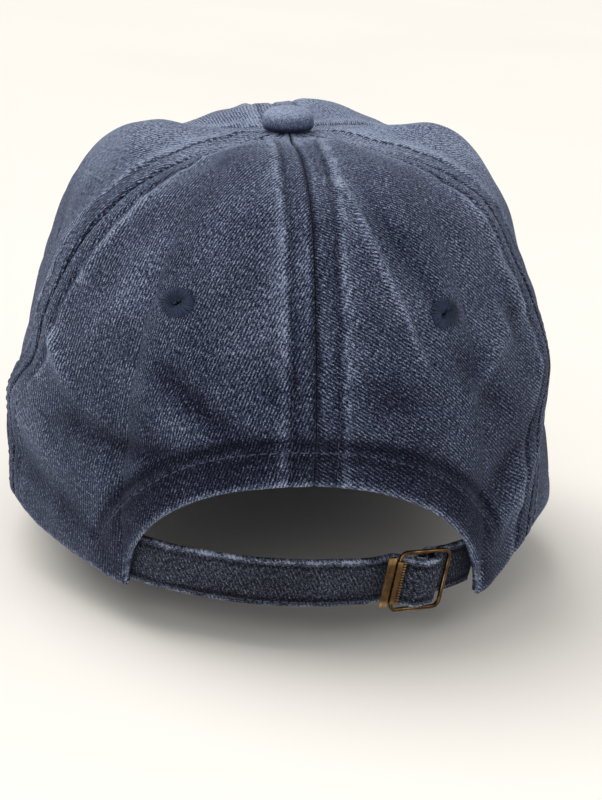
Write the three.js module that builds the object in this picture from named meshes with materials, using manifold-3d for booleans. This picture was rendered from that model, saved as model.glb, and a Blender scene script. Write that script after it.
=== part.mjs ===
// A washed-cotton six-panel baseball cap with a curved visor and a strap and brass buckle at the back.
// Millimetres, +Z up. The origin is the centre of the head opening, -Y is the front (visor),
// +Y is the back (strap) and +X is the wearer's left. Every piece is its own closed solid.
import * as THREE from 'three';
import { mergeVertices } from 'three/addons/utils/BufferGeometryUtils.js';
import Module from 'manifold-3d';

const wasm = await Module();
wasm.setup();

// ---------- driving dimensions ----------
const HALF_WIDTH = 86.5; // rim, wearer's left to right
const HALF_LENGTH = 92.9; // rim, front to back
const CROWN_HEIGHT = 116.8; // rim plane to the crown's cloth beside the button
const SIDE_POWER = 2.62; // how upright the sides are
const TOP_POWER = 4.64; // how flat the top is
const BULGE = 0.019; // swelling just above the rim
const TOP_SHIFT = 3.8; // the top sits this far towards the back
const TOP_LEAN = 4.5; // the settled crown leans this far towards +X
const TOP_TILT = 4.0; // and its -X shoulder stands this much higher
const BUTTON_RISE = 3.0; // the seams lift towards the button
const SEAM_WARP = THREE.MathUtils.degToRad(7); // rear side seams run this much further back at the top
const SWING_LEFT = THREE.MathUtils.degToRad(14); // low down they are pulled this much to the wearer's left
const SWING_RIGHT = THREE.MathUtils.degToRad(5);
const SWING_MIDDLE = THREE.MathUtils.degToRad(4); // both bow forward at mid height
const SWING_SPAN = 24; // degrees each side of the seam that share the swing
const PUFF_BACK = 3.0; // how far each panel billows above its seams
const PUFF_SIDE = 5.5;
const PUFF_FRONT = 6.2;
const SIDE_HOLLOW = 0.092; // side panels fall inward by this share of the radius

const FRONT_RISE = 16; // the rim arches over the visor
const FRONT_SPAN = THREE.MathUtils.degToRad(66);
const EAR_RISE = 8.0; // the rim is higher over the ears
const CORNER_DROP = 2.8; // and lower at the two rear corners
const ARCH_HALF = THREE.MathUtils.degToRad(36); // rear opening, half its angle
const ARCH_TOP = 36; // its top above the rim plane

const CLOTH = 1.2; // panel cloth with its seam allowance
const TAPE = 0.8;
const LAYER_GAP = 0.4; // clearance between layers sewn together
const SEAM_GAP = 0.15; // half the clearance between two panels
const TAPE_HALF = 7;
const BAND_HEIGHT = 32;
const BAND_CLOTH = 1.4;
const BAND_END = THREE.MathUtils.degToRad(46);
const FACING_WIDTH = 12;
const TOP_HOLE = 0.035; // share of the radius left open under the button
const BULGE_TOP = 0.75; // share of the height where the swelling ends
const PUFF_START = 0.1; // share of the radius where the billows start
const PUFF_POWER = 1.7; // how narrow they are between the seams
const PUFF_RISE = 2.4; // how late they grow with height
const PUFF_RING = 0.7; // how flat they are between rim and button
const RISE_RADIUS = 0.35; // share of the radius lifted towards the button

const BUTTON_RADIUS = 8;
const BUTTON_HEIGHT = 7.1;
const BUTTON_CLOTH = 0.8;
const BUTTON_BASE = 0.5; // the cover's edge above the crown
const DOME_POWER = 0.7; // below 1 the dome is fuller than a sphere

const VISOR_REACH = 68;
const VISOR_HALF_ANGLE = THREE.MathUtils.degToRad(64);
const VISOR_TILT = THREE.MathUtils.degToRad(12);
const VISOR_CAMBER = 112.6; // radius of the visor's curve
const VISOR_TIP = 0.98; // share of its half angle where each end is cut off square
const VISOR_FLARE = 0.15; // wider than an ellipse by this share
const VISOR_BLUNT = 0.85; // below 1 the front edge is squarer than an ellipse
const VISOR_TUCK = 1.4; // its inner edge lies this far inside the crown's face
const VISOR_CLOTH = 0.9;
const BOARD = 1.6;
const BOARD_INSET = 5;

const STRAP_HEIGHT = 14.7;
const STRAP_CLOTH = 1.8; // two folded layers
const STRAP_RADIUS = 73; // its arc round the back of the head
const STRAP_CENTRE_Y = 17.2;
const STRAP_Z = 5.4;
const STRAP_SLOPE = -0.01;
const STRAP_LEAN = THREE.MathUtils.degToRad(5);
const STRAP_END = 57; // arc length from the middle to the sewn end
const TAIL_END = 24; // arc length from the buckle to the tail's tip

const BUCKLE_ANGLE = THREE.MathUtils.degToRad(25.1);
const BUCKLE_TURN = THREE.MathUtils.degToRad(5.1); // its post leans within its own plane
const BUCKLE_OFF = 3.4; // frame plane outside the strap's middle layer
const WIRE = 0.65; // wire radius
const FRAME_HALF_X = 8.5; // wire centre lines
const FRAME_HALF_Z = 8.9;
const FRAME_CORNER = 2.1;
const POST_DROP = 1.7; // the centre post lies behind the frame plane
const TAB_CLOTH = 0.9;
const TAB_HOLE = 1.2;
const TAB_HALF = 7;
const TAB_END = 20;
const CURL_HOLE = 1.1; // the clamp's sleeve round the side bar
const CURL = 0.5;
const LEVER_REACH = 3.9;
const TEETH = 16;
const TOOTH_DEPTH = 0.65;
const TOOTH_THICKNESS = 0.5;
const TEETH_LEAN = 35; // degrees the teeth point in under the frame

const EYELET_HOLE = 2.6;
const EYELET_RADIUS = 4.25;
const EYELET_HEIGHT = 0.7; // share of the crown's height
const FLANGE_GAP = 0.6; // the stitched ring's flanges stand off the curved cloth

const NAVY = 0x4a5168;
const NAVY_DARK = 0x33384a;
const NAVY_THREAD = 0x2b3350;
const BRASS = 0x6b5638;
const STEEL = 0x8d8d88;
const BOARD_WHITE = 0xd9d9d4;
const LABEL_WHITE = 0xe6e4dc;

const DEG = Math.PI / 180;

// ---------- the crown's surface ----------
// u is the azimuth from the back (+Y) towards +X; beta rises from 0 at the rim to a quarter turn.
function profile(beta) {
  const s = Math.sin(beta);
  const c = Math.cos(beta);
  let low = 0;
  let high = 2;
  for (let i = 0; i < 40; i++) {
    const mid = (low + high) / 2;
    if ((mid * s) ** SIDE_POWER + (mid * c) ** TOP_POWER < 1) low = mid;
    else high = mid;
  }
  return { h: Math.min(low * s, 1), r: Math.max(low * c, 0) };
}

function bump(angle, centre, half) {
  const away = Math.abs(angle - centre);
  return away < half ? Math.cos((Math.PI / 2) * (away / half)) ** 2 : 0;
}

function wrapAngle(u) {
  return u > Math.PI ? u - 2 * Math.PI : u;
}

function rimHeight(u) {
  const a = Math.abs(wrapAngle(u));
  const front = Math.PI - a;
  const share = Math.min(front / FRONT_SPAN, 1);
  const visorArch = FRONT_RISE * 0.5 * (1 + Math.cos(Math.PI * share));
  return visorArch + EAR_RISE * bump(a, 76 * DEG, 38 * DEG) - CORNER_DROP * bump(a, 36 * DEG, 26 * DEG);
}

function puffs(u) {
  const a = Math.abs(wrapAngle(u)) / DEG;
  const shape = (t) => Math.max(Math.sin(Math.PI * t), 0) ** PUFF_POWER;
  return {
    back: a < 60 ? shape(a / 60) : 0,
    side: a >= 60 && a < 120 ? shape((a - 60) / 60) : 0,
    front: a >= 120 ? shape((a - 120) / 120) : 0,
  };
}

function seamSwing(angle, h) {
  const low = 1 - THREE.MathUtils.smoothstep(h, 0.3, 0.5);
  const middle = Math.sign(angle) * SWING_MIDDLE * Math.sin(Math.PI * h) ** 2 * (1 - low);
  const pulled = (angle > 0 ? SWING_LEFT : SWING_RIGHT) * low;
  return bump(Math.abs(angle), 60 * DEG, SWING_SPAN * DEG) * (pulled + middle);
}

function crownPoint(u, beta) {
  const { h, r } = profile(beta);
  const angle = wrapAngle(u);
  const a = Math.abs(angle);
  const warp = a < 120 * DEG ? SEAM_WARP * h ** 4 * Math.sin((Math.PI * a) / (120 * DEG)) : 0;
  const theta = angle - Math.sign(angle) * warp + seamSwing(angle, h);
  const puff = puffs(u);
  const swell = 1 + BULGE * Math.sin(Math.PI * Math.min(h / BULGE_TOP, 1));
  const hollow = 1 - SIDE_HOLLOW * puff.side * Math.sin(Math.PI * h ** 1.5);
  const x = HALF_WIDTH * Math.sin(theta) * r * swell * hollow + TOP_LEAN * h;
  const y = HALF_LENGTH * Math.cos(theta) * r * swell * hollow + TOP_SHIFT * h;
  const open = Math.max((r - PUFF_START) / (1 - PUFF_START), 0);
  const ring = (4 * open * (1 - open)) ** PUFF_RING;
  const puffHeight = PUFF_BACK * puff.back + PUFF_SIDE * puff.side + PUFF_FRONT * puff.front;
  const rise = BUTTON_RISE * Math.max(1 - r / RISE_RADIUS, 0) ** 2;
  const rim = rimHeight(u);
  const tilt = (TOP_TILT * x * h * h) / HALF_WIDTH;
  const z = rim + (CROWN_HEIGHT - rim) * h + puffHeight * h ** PUFF_RISE * ring + rise - tilt;
  return new THREE.Vector3(x, y, z);
}

const STEP = 1e-3;
function crownNormal(u, beta) {
  const across = crownPoint(u + STEP, beta).sub(crownPoint(u - STEP, beta));
  const up = crownPoint(u, beta + STEP).sub(crownPoint(u, Math.max(beta - STEP, 0)));
  return up.cross(across).normalize();
}

function onCrown(u, beta, offset) {
  return crownPoint(u, beta).addScaledVector(crownNormal(u, beta), offset);
}

function betaAtHeight(u, z) {
  let low = 0;
  let high = 60 * DEG;
  for (let i = 0; i < 40; i++) {
    const mid = (low + high) / 2;
    if (crownPoint(u, mid).z < z) low = mid;
    else high = mid;
  }
  return (low + high) / 2;
}

function betaAtRadius(share) {
  let low = 45 * DEG;
  let high = 90 * DEG;
  for (let i = 0; i < 40; i++) {
    const mid = (low + high) / 2;
    if (profile(mid).r > share) low = mid;
    else high = mid;
  }
  return (low + high) / 2;
}

function archHeight(u) {
  const share = Math.abs(u) / ARCH_HALF;
  const foot = rimHeight(ARCH_HALF);
  return share < 1 ? foot + (ARCH_TOP - foot) * Math.sqrt(1 - share * share) : rimHeight(u);
}

function spaced(from, to, count) {
  return Array.from({ length: count + 1 }, (_, i) => from + ((to - from) * i) / count);
}

// ---------- solids ----------
function solidFromGrid(columns, rows, outer, inner) {
  // outer(i, j) and inner(i, j) are the two skins; the edges between them are closed.
  const positions = [];
  for (const skin of [outer, inner]) {
    for (let i = 0; i <= columns; i++) {
      for (let j = 0; j <= rows; j++) positions.push(...skin(i, j).toArray());
    }
  }
  const layer = (columns + 1) * (rows + 1);
  const at = (side, i, j) => side * layer + i * (rows + 1) + j;
  const faces = [];
  const quad = (a, b, c, d) => faces.push(a, b, c, a, c, d);
  for (let i = 0; i < columns; i++) {
    for (let j = 0; j < rows; j++) {
      quad(at(0, i, j), at(0, i, j + 1), at(0, i + 1, j + 1), at(0, i + 1, j));
      quad(at(1, i, j), at(1, i + 1, j), at(1, i + 1, j + 1), at(1, i, j + 1));
    }
    quad(at(0, i, 0), at(0, i + 1, 0), at(1, i + 1, 0), at(1, i, 0));
    quad(at(0, i, rows), at(1, i, rows), at(1, i + 1, rows), at(0, i + 1, rows));
  }
  for (let j = 0; j < rows; j++) {
    quad(at(0, 0, j), at(1, 0, j), at(1, 0, j + 1), at(0, 0, j + 1));
    quad(at(0, columns, j), at(0, columns, j + 1), at(1, columns, j + 1), at(1, columns, j));
  }
  const geometry = new THREE.BufferGeometry();
  geometry.setAttribute('position', new THREE.Float32BufferAttribute(positions, 3));
  geometry.setIndex(faces);
  return facingOut(geometry);
}

function signedVolume(geometry) {
  const points = geometry.getAttribute('position');
  const index = geometry.getIndex();
  const [a, b, c] = [new THREE.Vector3(), new THREE.Vector3(), new THREE.Vector3()];
  let volume = 0;
  for (let i = 0; i < index.count; i += 3) {
    a.fromBufferAttribute(points, index.getX(i));
    b.fromBufferAttribute(points, index.getX(i + 1));
    c.fromBufferAttribute(points, index.getX(i + 2));
    volume += a.dot(b.cross(c)) / 6;
  }
  return volume;
}

function facingOut(geometry) {
  if (signedVolume(geometry) < 0) {
    const faces = geometry.getIndex().array;
    for (let i = 0; i < faces.length; i += 3) [faces[i], faces[i + 1]] = [faces[i + 1], faces[i]];
  }
  geometry.computeVertexNormals();
  return geometry;
}

function toManifold(geometry) {
  const bare = geometry.clone();
  bare.deleteAttribute('normal');
  bare.deleteAttribute('uv');
  const merged = mergeVertices(bare, 1e-4);
  return new wasm.Manifold(
    new wasm.Mesh({
      numProp: 3,
      vertProperties: new Float32Array(merged.getAttribute('position').array),
      triVerts: new Uint32Array(merged.getIndex().array),
    }),
  );
}

function fromManifold(solid) {
  const mesh = solid.getMesh();
  const geometry = new THREE.BufferGeometry();
  geometry.setAttribute('position', new THREE.Float32BufferAttribute(Array.from(mesh.vertProperties), 3));
  geometry.setIndex(Array.from(mesh.triVerts));
  geometry.computeVertexNormals();
  return geometry;
}

function joined(...geometries) {
  return fromManifold(geometries.map(toManifold).reduce((all, next) => all.add(next)));
}

function cut(geometry, tool) {
  return fromManifold(toManifold(geometry).subtract(toManifold(tool)));
}

function material(colour, roughness = 0.92, metalness = 0) {
  return new THREE.MeshStandardMaterial({ color: colour, roughness, metalness });
}

const cap = new THREE.Group();
function piece(name, geometry, finish, parent = cap) {
  const mesh = new THREE.Mesh(geometry, finish);
  mesh.name = name;
  parent.add(mesh);
  return mesh;
}

// ---------- crown panels ----------
const PANELS = [
  { name: 'back_panel_left', from: 0 },
  { name: 'side_panel_left', from: 60 },
  { name: 'front_panel_left', from: 120 },
  { name: 'front_panel_right', from: 180 },
  { name: 'side_panel_right', from: -120 },
  { name: 'back_panel_right', from: -60 },
];
const PANEL_ROWS = 12;
const PANEL_COLUMNS = 10;

function panelAngles(from) {
  // The rear panels take close columns where the arch turns down, the others even ones.
  if (Math.abs(from + 30) > 30.5) {
    return Array.from({ length: PANEL_COLUMNS + 1 }, (_, i) => (from + (60 * i) / PANEL_COLUMNS) * DEG);
  }
  const angles = [];
  for (let i = 0; i <= 8; i++) angles.push(ARCH_HALF * Math.sin((i * Math.PI) / 16));
  for (let i = 1; i <= 4; i++) angles.push(ARCH_HALF + ((60 * DEG - ARCH_HALF) * i) / 4);
  return from < 0 ? angles.reverse().map((angle) => -angle) : angles;
}

function panelRows(u) {
  const floor = betaAtHeight(u, archHeight(wrapAngle(u)));
  return spaced(floor, betaAtRadius(TOP_HOLE), PANEL_ROWS);
}

function panelGeometry(from) {
  const angles = panelAngles(from);
  const middle = (from + 30) * DEG;
  const grid = (offset) => (i, j) => {
    const u = angles[i];
    const beta = panelRows(u)[j];
    const ring = Math.max(profile(beta).r, TOP_HOLE) * HALF_WIDTH;
    const edge = i === 0 || i === angles.length - 1;
    const inset = edge ? (Math.sign(middle - u) * SEAM_GAP) / ring : 0;
    return onCrown(u + inset, beta, offset);
  };
  return solidFromGrid(angles.length - 1, PANEL_ROWS, grid(0), grid(-CLOTH));
}

function placeOnCrown(object, u, beta, offset) {
  // Local +Z points out of the cloth.
  const normal = crownNormal(u, beta);
  object.position.copy(crownPoint(u, beta)).addScaledVector(normal, offset);
  object.quaternion.setFromUnitVectors(new THREE.Vector3(0, 0, 1), normal);
  return object;
}

function eyeletPlace(from) {
  const u = (from + 30) * DEG;
  return [u, betaAtHeight(u, CROWN_HEIGHT * EYELET_HEIGHT)];
}

function eyeletGeometry() {
  // A sewn ring: a short tube through the cloth with a flange on each face.
  const [tubeIn, tubeOut] = [1.9, 2.3];
  const [flange, above, below] = [0.45, FLANGE_GAP, -CLOTH - FLANGE_GAP];
  const outline = [
    [tubeIn, below - flange],
    [EYELET_RADIUS, below - flange],
    [EYELET_RADIUS, below],
    [tubeOut, below],
    [tubeOut, above],
    [EYELET_RADIUS, above],
    [EYELET_RADIUS, above + flange],
    [tubeIn, above + flange],
    [tubeIn, below - flange],
  ];
  return facingOut(mergeVertices(bareLathe(outline, 12), 1e-4));
}

function bareLathe(outline, segments) {
  const geometry = new THREE.LatheGeometry(outline.map(([r, y]) => new THREE.Vector2(r, y)), segments);
  geometry.deleteAttribute('normal');
  geometry.deleteAttribute('uv');
  geometry.rotateX(Math.PI / 2);
  return geometry;
}

for (const { name, from } of PANELS) {
  const hole = new THREE.CylinderGeometry(EYELET_HOLE, EYELET_HOLE, 8, 16);
  hole.rotateX(Math.PI / 2);
  const punch = placeOnCrown(new THREE.Object3D(), ...eyeletPlace(from), 0);
  punch.updateMatrix();
  hole.applyMatrix4(punch.matrix);
  piece(name, cut(panelGeometry(from), hole), material(NAVY));
  const eyelet = piece(name.replace('panel', 'eyelet'), eyeletGeometry(), material(NAVY_THREAD, 0.7));
  placeOnCrown(eyelet, ...eyeletPlace(from), 0);
}

// ---------- tapes, facing, sweatband and label inside the crown ----------
const SEAMS = [
  { name: 'seam_tape_back', at: 0 },
  { name: 'seam_tape_rear_left', at: 60 },
  { name: 'seam_tape_fore_left', at: 120 },
  { name: 'seam_tape_front', at: 180 },
  { name: 'seam_tape_fore_right', at: -120 },
  { name: 'seam_tape_rear_right', at: -60 },
];
const TAPE_OUT = -CLOTH - LAYER_GAP;
const TAPE_IN = TAPE_OUT - TAPE;
const BAND_OUT = TAPE_IN - LAYER_GAP;
const BAND_IN = BAND_OUT - BAND_CLOTH;

function tapeGeometry(at) {
  // The tape's rows are the panels' own, from just above its foot to one short of the button.
  const u = at * DEG;
  const foot = betaAtHeight(u, at === 0 ? ARCH_TOP + FACING_WIDTH + 1 : rimHeight(u) + 0.5);
  const rows = panelRows(u).slice(0, -1).filter((beta) => beta > foot + 2 * DEG);
  rows.unshift(foot);
  const grid = (offset) => (i, j) => {
    const ring = profile(rows[j]).r * HALF_WIDTH;
    const half = Math.min(TAPE_HALF, ring * 0.4);
    return onCrown(u + ((i / 2 - 1) * half) / ring, rows[j], offset);
  };
  return solidFromGrid(4, rows.length - 1, grid(TAPE_OUT), grid(TAPE_IN));
}

function facingGeometry() {
  const columns = 24;
  const rows = 2;
  const spread = FACING_WIDTH / HALF_LENGTH;
  const grid = (offset) => (i, j) => {
    const turn = (-90 + (180 * i) / columns) * DEG;
    const share = 0.05 + (0.95 * j) / rows;
    const u = (ARCH_HALF + spread * share) * Math.sin(turn);
    const foot = Math.min(rimHeight(u), archHeight(u)) + 0.3;
    const z = foot + (ARCH_TOP - rimHeight(ARCH_HALF) + FACING_WIDTH * share) * Math.cos(turn);
    return onCrown(u, betaAtHeight(u, Math.min(z, ARCH_TOP + FACING_WIDTH * share)), offset);
  };
  return solidFromGrid(columns, rows, grid(TAPE_OUT), grid(TAPE_IN));
}

function bandGeometry() {
  const columns = 36;
  const rows = 4;
  const grid = (offset) => (i, j) => {
    const u = BAND_END + ((2 * Math.PI - 2 * BAND_END) * i) / columns;
    const z = rimHeight(u) + 0.4 + (BAND_HEIGHT * j) / rows;
    return onCrown(u, betaAtHeight(u, z), offset);
  };
  return solidFromGrid(columns, rows, grid(BAND_OUT), grid(BAND_IN));
}

function labelGeometry() {
  // a plain cloth label sewn inside the left side panel: angles in degrees, heights above the rim plane
  const [uFrom, uTo, low, high, thickness] = [86, 104, 44, 66, 0.5];
  const [columns, rows] = [4, 3];
  const grid = (offset) => (i, j) => {
    const u = (uFrom + ((uTo - uFrom) * i) / columns) * DEG;
    return onCrown(u, betaAtHeight(u, low + ((high - low) * j) / rows), offset);
  };
  return solidFromGrid(columns, rows, grid(TAPE_OUT), grid(TAPE_OUT - thickness));
}

for (const { name, at } of SEAMS) piece(name, tapeGeometry(at), material(NAVY_DARK));
piece('arch_facing', facingGeometry(), material(NAVY_DARK));
piece('sweatband', bandGeometry(), material(NAVY_DARK));
piece('care_label', labelGeometry(), material(LABEL_WHITE, 0.8));

// ---------- button on top ----------
function domeOutline(radius, height, floor) {
  // half a section, from the floor's edge up to the axis
  const steps = 6;
  return Array.from({ length: steps + 1 }, (_, i) => {
    const t = (i * Math.PI) / (2 * steps);
    const r = i === steps ? 0 : radius * Math.cos(t) ** DOME_POWER;
    return [r, floor + height * Math.sin(t)];
  });
}

function buttonPieces() {
  const button = new THREE.Group();
  const lift = BUTTON_RISE - (TOP_TILT * TOP_LEAN) / HALF_WIDTH;
  button.position.set(TOP_LEAN, TOP_SHIFT, CROWN_HEIGHT + lift);
  button.rotation.y = Math.atan(TOP_TILT / HALF_WIDTH);
  cap.add(button);
  const height = BUTTON_HEIGHT - BUTTON_BASE;
  const inner = BUTTON_RADIUS - BUTTON_CLOTH - 0.3;
  const cover = [
    ...domeOutline(inner + 0.3, height - BUTTON_CLOTH, BUTTON_BASE).reverse(),
    ...domeOutline(BUTTON_RADIUS, height, BUTTON_BASE),
  ];
  cover.push(cover[0]);
  const shellFloor = BUTTON_BASE + 0.4;
  const shell = [
    [0, shellFloor],
    [inner, shellFloor],
    ...domeOutline(inner, height - BUTTON_CLOTH - 0.7, shellFloor).slice(1),
  ];
  const shank = [
    [0, -5.2],
    [1.7, -5.2],
    [1.7, 0.1],
    [4.5, 0.1],
    [4.5, 0.6],
    [0, 0.6],
  ];
  const washer = [
    [2.1, -4.6],
    [6, -4.6],
    [6, -3.9],
    [2.1, -3.9],
    [2.1, -4.6],
  ];
  const turned = (outline) => facingOut(mergeVertices(bareLathe(outline, 20), 1e-4));
  piece('button_cover', turned(cover), material(NAVY), button);
  piece('button_shell', turned(shell), material(STEEL, 0.5, 0.9), button);
  piece('button_shank', turned(shank), material(STEEL, 0.5, 0.9), button);
  piece('button_washer', turned(washer), material(STEEL, 0.5, 0.9), button);
}
buttonPieces();

// ---------- visor ----------
// s runs from -1 (wearer's left end) to 1, t from 0 at the crown to 1 at the outer edge.
const VISOR_COLUMNS = 24;
const VISOR_ROWS = 6;

function visorPoint(s, t, depth) {
  const u = Math.PI + s * VISOR_HALF_ANGLE;
  const root = onCrown(wrapAngle(u), 0, -VISOR_TUCK);
  const end = onCrown(Math.PI - VISOR_HALF_ANGLE, 0, -VISOR_TUCK);
  const beta = (s * Math.PI) / 2;
  const edgeX = -end.x * Math.sin(beta) * (1 + VISOR_FLARE * Math.sin(2 * Math.abs(beta)));
  const edgeY = end.y - (HALF_LENGTH + VISOR_REACH + end.y) * Math.cos(beta) ** VISOR_BLUNT;
  const x = THREE.MathUtils.lerp(root.x, edgeX, t);
  const y = THREE.MathUtils.lerp(root.y, edgeY, t);
  const slope = Math.tan(VISOR_TILT);
  const camber = (px, py) => FRONT_RISE - (px * px) / (2 * VISOR_CAMBER) + slope * (py + HALF_LENGTH);
  const fit = (rimHeight(wrapAngle(u)) - camber(root.x, root.y)) * (1 - t) ** 2;
  return new THREE.Vector3(x, y, camber(x, y) + fit - LAYER_GAP - depth);
}

function visorLayer(top, bottom, pinch, inset) {
  // pinch draws the two cloths together over the board's outer edge
  const grid = (depth) => (i, j) => {
    const limit = 1 - inset / VISOR_REACH;
    const s = (-1 + (2 * i) / VISOR_COLUMNS) * Math.min(limit, VISOR_TIP);
    const t = (1 - (1 - j / VISOR_ROWS) ** 1.8) * limit;
    const nearEdge = THREE.MathUtils.smoothstep(Math.max(t, Math.abs(s) * 0.98), 0.95, 1);
    return visorPoint(s, t, depth + pinch * nearEdge);
  };
  return solidFromGrid(VISOR_COLUMNS, VISOR_ROWS, grid(top), grid(bottom));
}

const UNDER_BOARD = VISOR_CLOTH + LAYER_GAP + BOARD + LAYER_GAP;
piece('visor_top_cloth', visorLayer(0, VISOR_CLOTH, 0.9, 0), material(NAVY));
piece(
  'visor_board',
  visorLayer(VISOR_CLOTH + LAYER_GAP, VISOR_CLOTH + LAYER_GAP + BOARD, 0, BOARD_INSET),
  material(BOARD_WHITE, 0.6),
);
piece('visor_under_cloth', visorLayer(UNDER_BOARD, UNDER_BOARD + VISOR_CLOTH, -0.9, 0), material(NAVY));

// ---------- rear strap ----------
// q runs along the strap from the buckle's post towards +X, zeta up its width.
const BUCKLE_AT = -STRAP_RADIUS * BUCKLE_ANGLE;
const STRAP_PATH = new THREE.SplineCurve(
  [
    [-14, 0],
    [-10, 0],
    [-8, -0.2],
    [-6.8, 0.5],
    [-5.7, 2.4],
    [-4.6, 4.3],
    [-2.4, 5.2],
    [0, 5.35],
    [2, 4.9],
    [4, 3.0],
    [6, 0.5],
    [8, -0.9],
    [10, -0.7],
    [14, 0],
  ].map(([q, rho]) => new THREE.Vector2(q, rho)),
);
const PATH_HALF = 14;

function strapRise(q) {
  if (Math.abs(q) >= PATH_HALF) return 0;
  let low = 0;
  let high = 1;
  for (let i = 0; i < 30; i++) {
    const mid = (low + high) / 2;
    if (STRAP_PATH.getPoint(mid).x < q) low = mid;
    else high = mid;
  }
  return STRAP_PATH.getPoint(low).y;
}

function strapPoint(q, zeta, rho) {
  const s = BUCKLE_AT + q - zeta * Math.tan(BUCKLE_TURN);
  const radius = STRAP_RADIUS + rho * Math.cos(STRAP_LEAN) + zeta * Math.sin(STRAP_LEAN);
  return new THREE.Vector3(
    radius * Math.sin(s / STRAP_RADIUS),
    STRAP_CENTRE_Y + radius * Math.cos(s / STRAP_RADIUS),
    STRAP_Z + STRAP_SLOPE * s + zeta * Math.cos(STRAP_LEAN) - rho * Math.sin(STRAP_LEAN),
  );
}

function strapGeometry(stations) {
  const rows = 2;
  const skin = (offset) => (i, j) => {
    const q = stations[i];
    const slope = (strapRise(q + 0.05) - strapRise(q - 0.05)) / 0.1;
    const length = Math.hypot(1, slope);
    const zeta = (j / rows - 0.5) * STRAP_HEIGHT;
    return strapPoint(q - (offset * slope) / length, zeta, strapRise(q) + offset / length);
  };
  return solidFromGrid(stations.length - 1, rows, skin(STRAP_CLOTH / 2), skin(-STRAP_CLOTH / 2));
}

const SPLIT = -8.4; // the tail piece starts under the buckle's outer bar
const SPLIT_GAP = 0.15; // half the clearance between the two
const loopStations = spaced(SPLIT + SPLIT_GAP, PATH_HALF, 30);
const plainStations = spaced(PATH_HALF, STRAP_END - BUCKLE_AT, 18).slice(1);
piece('strap', strapGeometry([...loopStations, ...plainStations]), material(NAVY_DARK));
piece('strap_tail', strapGeometry(spaced(-TAIL_END, SPLIT - SPLIT_GAP, 10)), material(NAVY_DARK));

// ---------- buckle ----------
// In the buckle's own frame x runs along the strap towards +X, y points out of the head, z up the post.
const buckle = new THREE.Group();
buckle.position.copy(strapPoint(0, 0, BUCKLE_OFF));
buckle.rotation.set(-STRAP_LEAN, -BUCKLE_TURN, BUCKLE_ANGLE, 'ZXY');
cap.add(buckle);

function wireLoop(route, radius, columns, sides) {
  // a round wire along a closed route in the x-z plane
  const positions = [];
  const faces = [];
  for (let i = 0; i < columns; i++) {
    const [at, beyond] = [route(i / columns), route((i + 0.01) / columns)];
    const side = new THREE.Vector2(beyond.y - at.y, at.x - beyond.x).normalize();
    for (let j = 0; j < sides; j++) {
      const turn = (2 * Math.PI * j) / sides;
      const out = radius * Math.cos(turn);
      positions.push(at.x + side.x * out, radius * Math.sin(turn), at.y + side.y * out);
      const [here, ahead] = [i * sides, ((i + 1) % columns) * sides];
      const next = (j + 1) % sides;
      faces.push(here + j, here + next, ahead + next, here + j, ahead + next, ahead + j);
    }
  }
  const geometry = new THREE.BufferGeometry();
  geometry.setAttribute('position', new THREE.Float32BufferAttribute(positions, 3));
  geometry.setIndex(faces);
  return facingOut(geometry);
}

function roundedRectangle(halfX, halfZ, corner) {
  const shape = new THREE.Path();
  shape.moveTo(halfX, -halfZ + corner);
  shape.lineTo(halfX, halfZ - corner);
  shape.absarc(halfX - corner, halfZ - corner, corner, 0, Math.PI / 2);
  shape.lineTo(-halfX + corner, halfZ);
  shape.absarc(-halfX + corner, halfZ - corner, corner, Math.PI / 2, Math.PI);
  shape.lineTo(-halfX, -halfZ + corner);
  shape.absarc(-halfX + corner, -halfZ + corner, corner, Math.PI, 1.5 * Math.PI);
  shape.lineTo(halfX - corner, -halfZ);
  shape.absarc(halfX - corner, -halfZ + corner, corner, 1.5 * Math.PI, 2 * Math.PI);
  return (t) => shape.getPointAt(t % 1);
}

function circleShape(radius, sides) {
  const shape = new THREE.Shape();
  for (let i = 0; i < sides; i++) {
    const turn = (2 * Math.PI * (i + 0.5)) / sides;
    const [x, y] = [radius * Math.cos(turn), radius * Math.sin(turn)];
    if (i === 0) shape.moveTo(x, y);
    else shape.lineTo(x, y);
  }
  shape.closePath();
  return shape;
}

function frameGeometry() {
  const ring = wireLoop(roundedRectangle(FRAME_HALF_X, FRAME_HALF_Z, FRAME_CORNER), WIRE, 40, 8);
  const straight = TAB_HALF + 0.4;
  const route = new THREE.CatmullRomCurve3(
    [
      [0, 0, FRAME_HALF_Z],
      [0, -POST_DROP, straight],
      [0, -POST_DROP, 0],
      [0, -POST_DROP, -straight],
      [0, 0, -FRAME_HALF_Z],
    ].map((point) => new THREE.Vector3(...point)),
    false,
    'catmullrom',
    0.1,
  );
  const post = new THREE.ExtrudeGeometry(circleShape(WIRE * 0.95, 8), { steps: 10, extrudePath: route });
  return joined(ring, post);
}

function uprightPlate(shape, half) {
  // a shape drawn in x-y, extruded from -half to half along z
  const options = { depth: 2 * half, steps: 1, bevelEnabled: false, curveSegments: 10 };
  const geometry = new THREE.ExtrudeGeometry(shape, options);
  geometry.translate(0, 0, -half);
  return geometry;
}

function ringShape(inside, outside, sides) {
  const shape = circleShape(outside, sides);
  shape.holes.push(circleShape(inside, sides));
  return shape;
}

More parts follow.
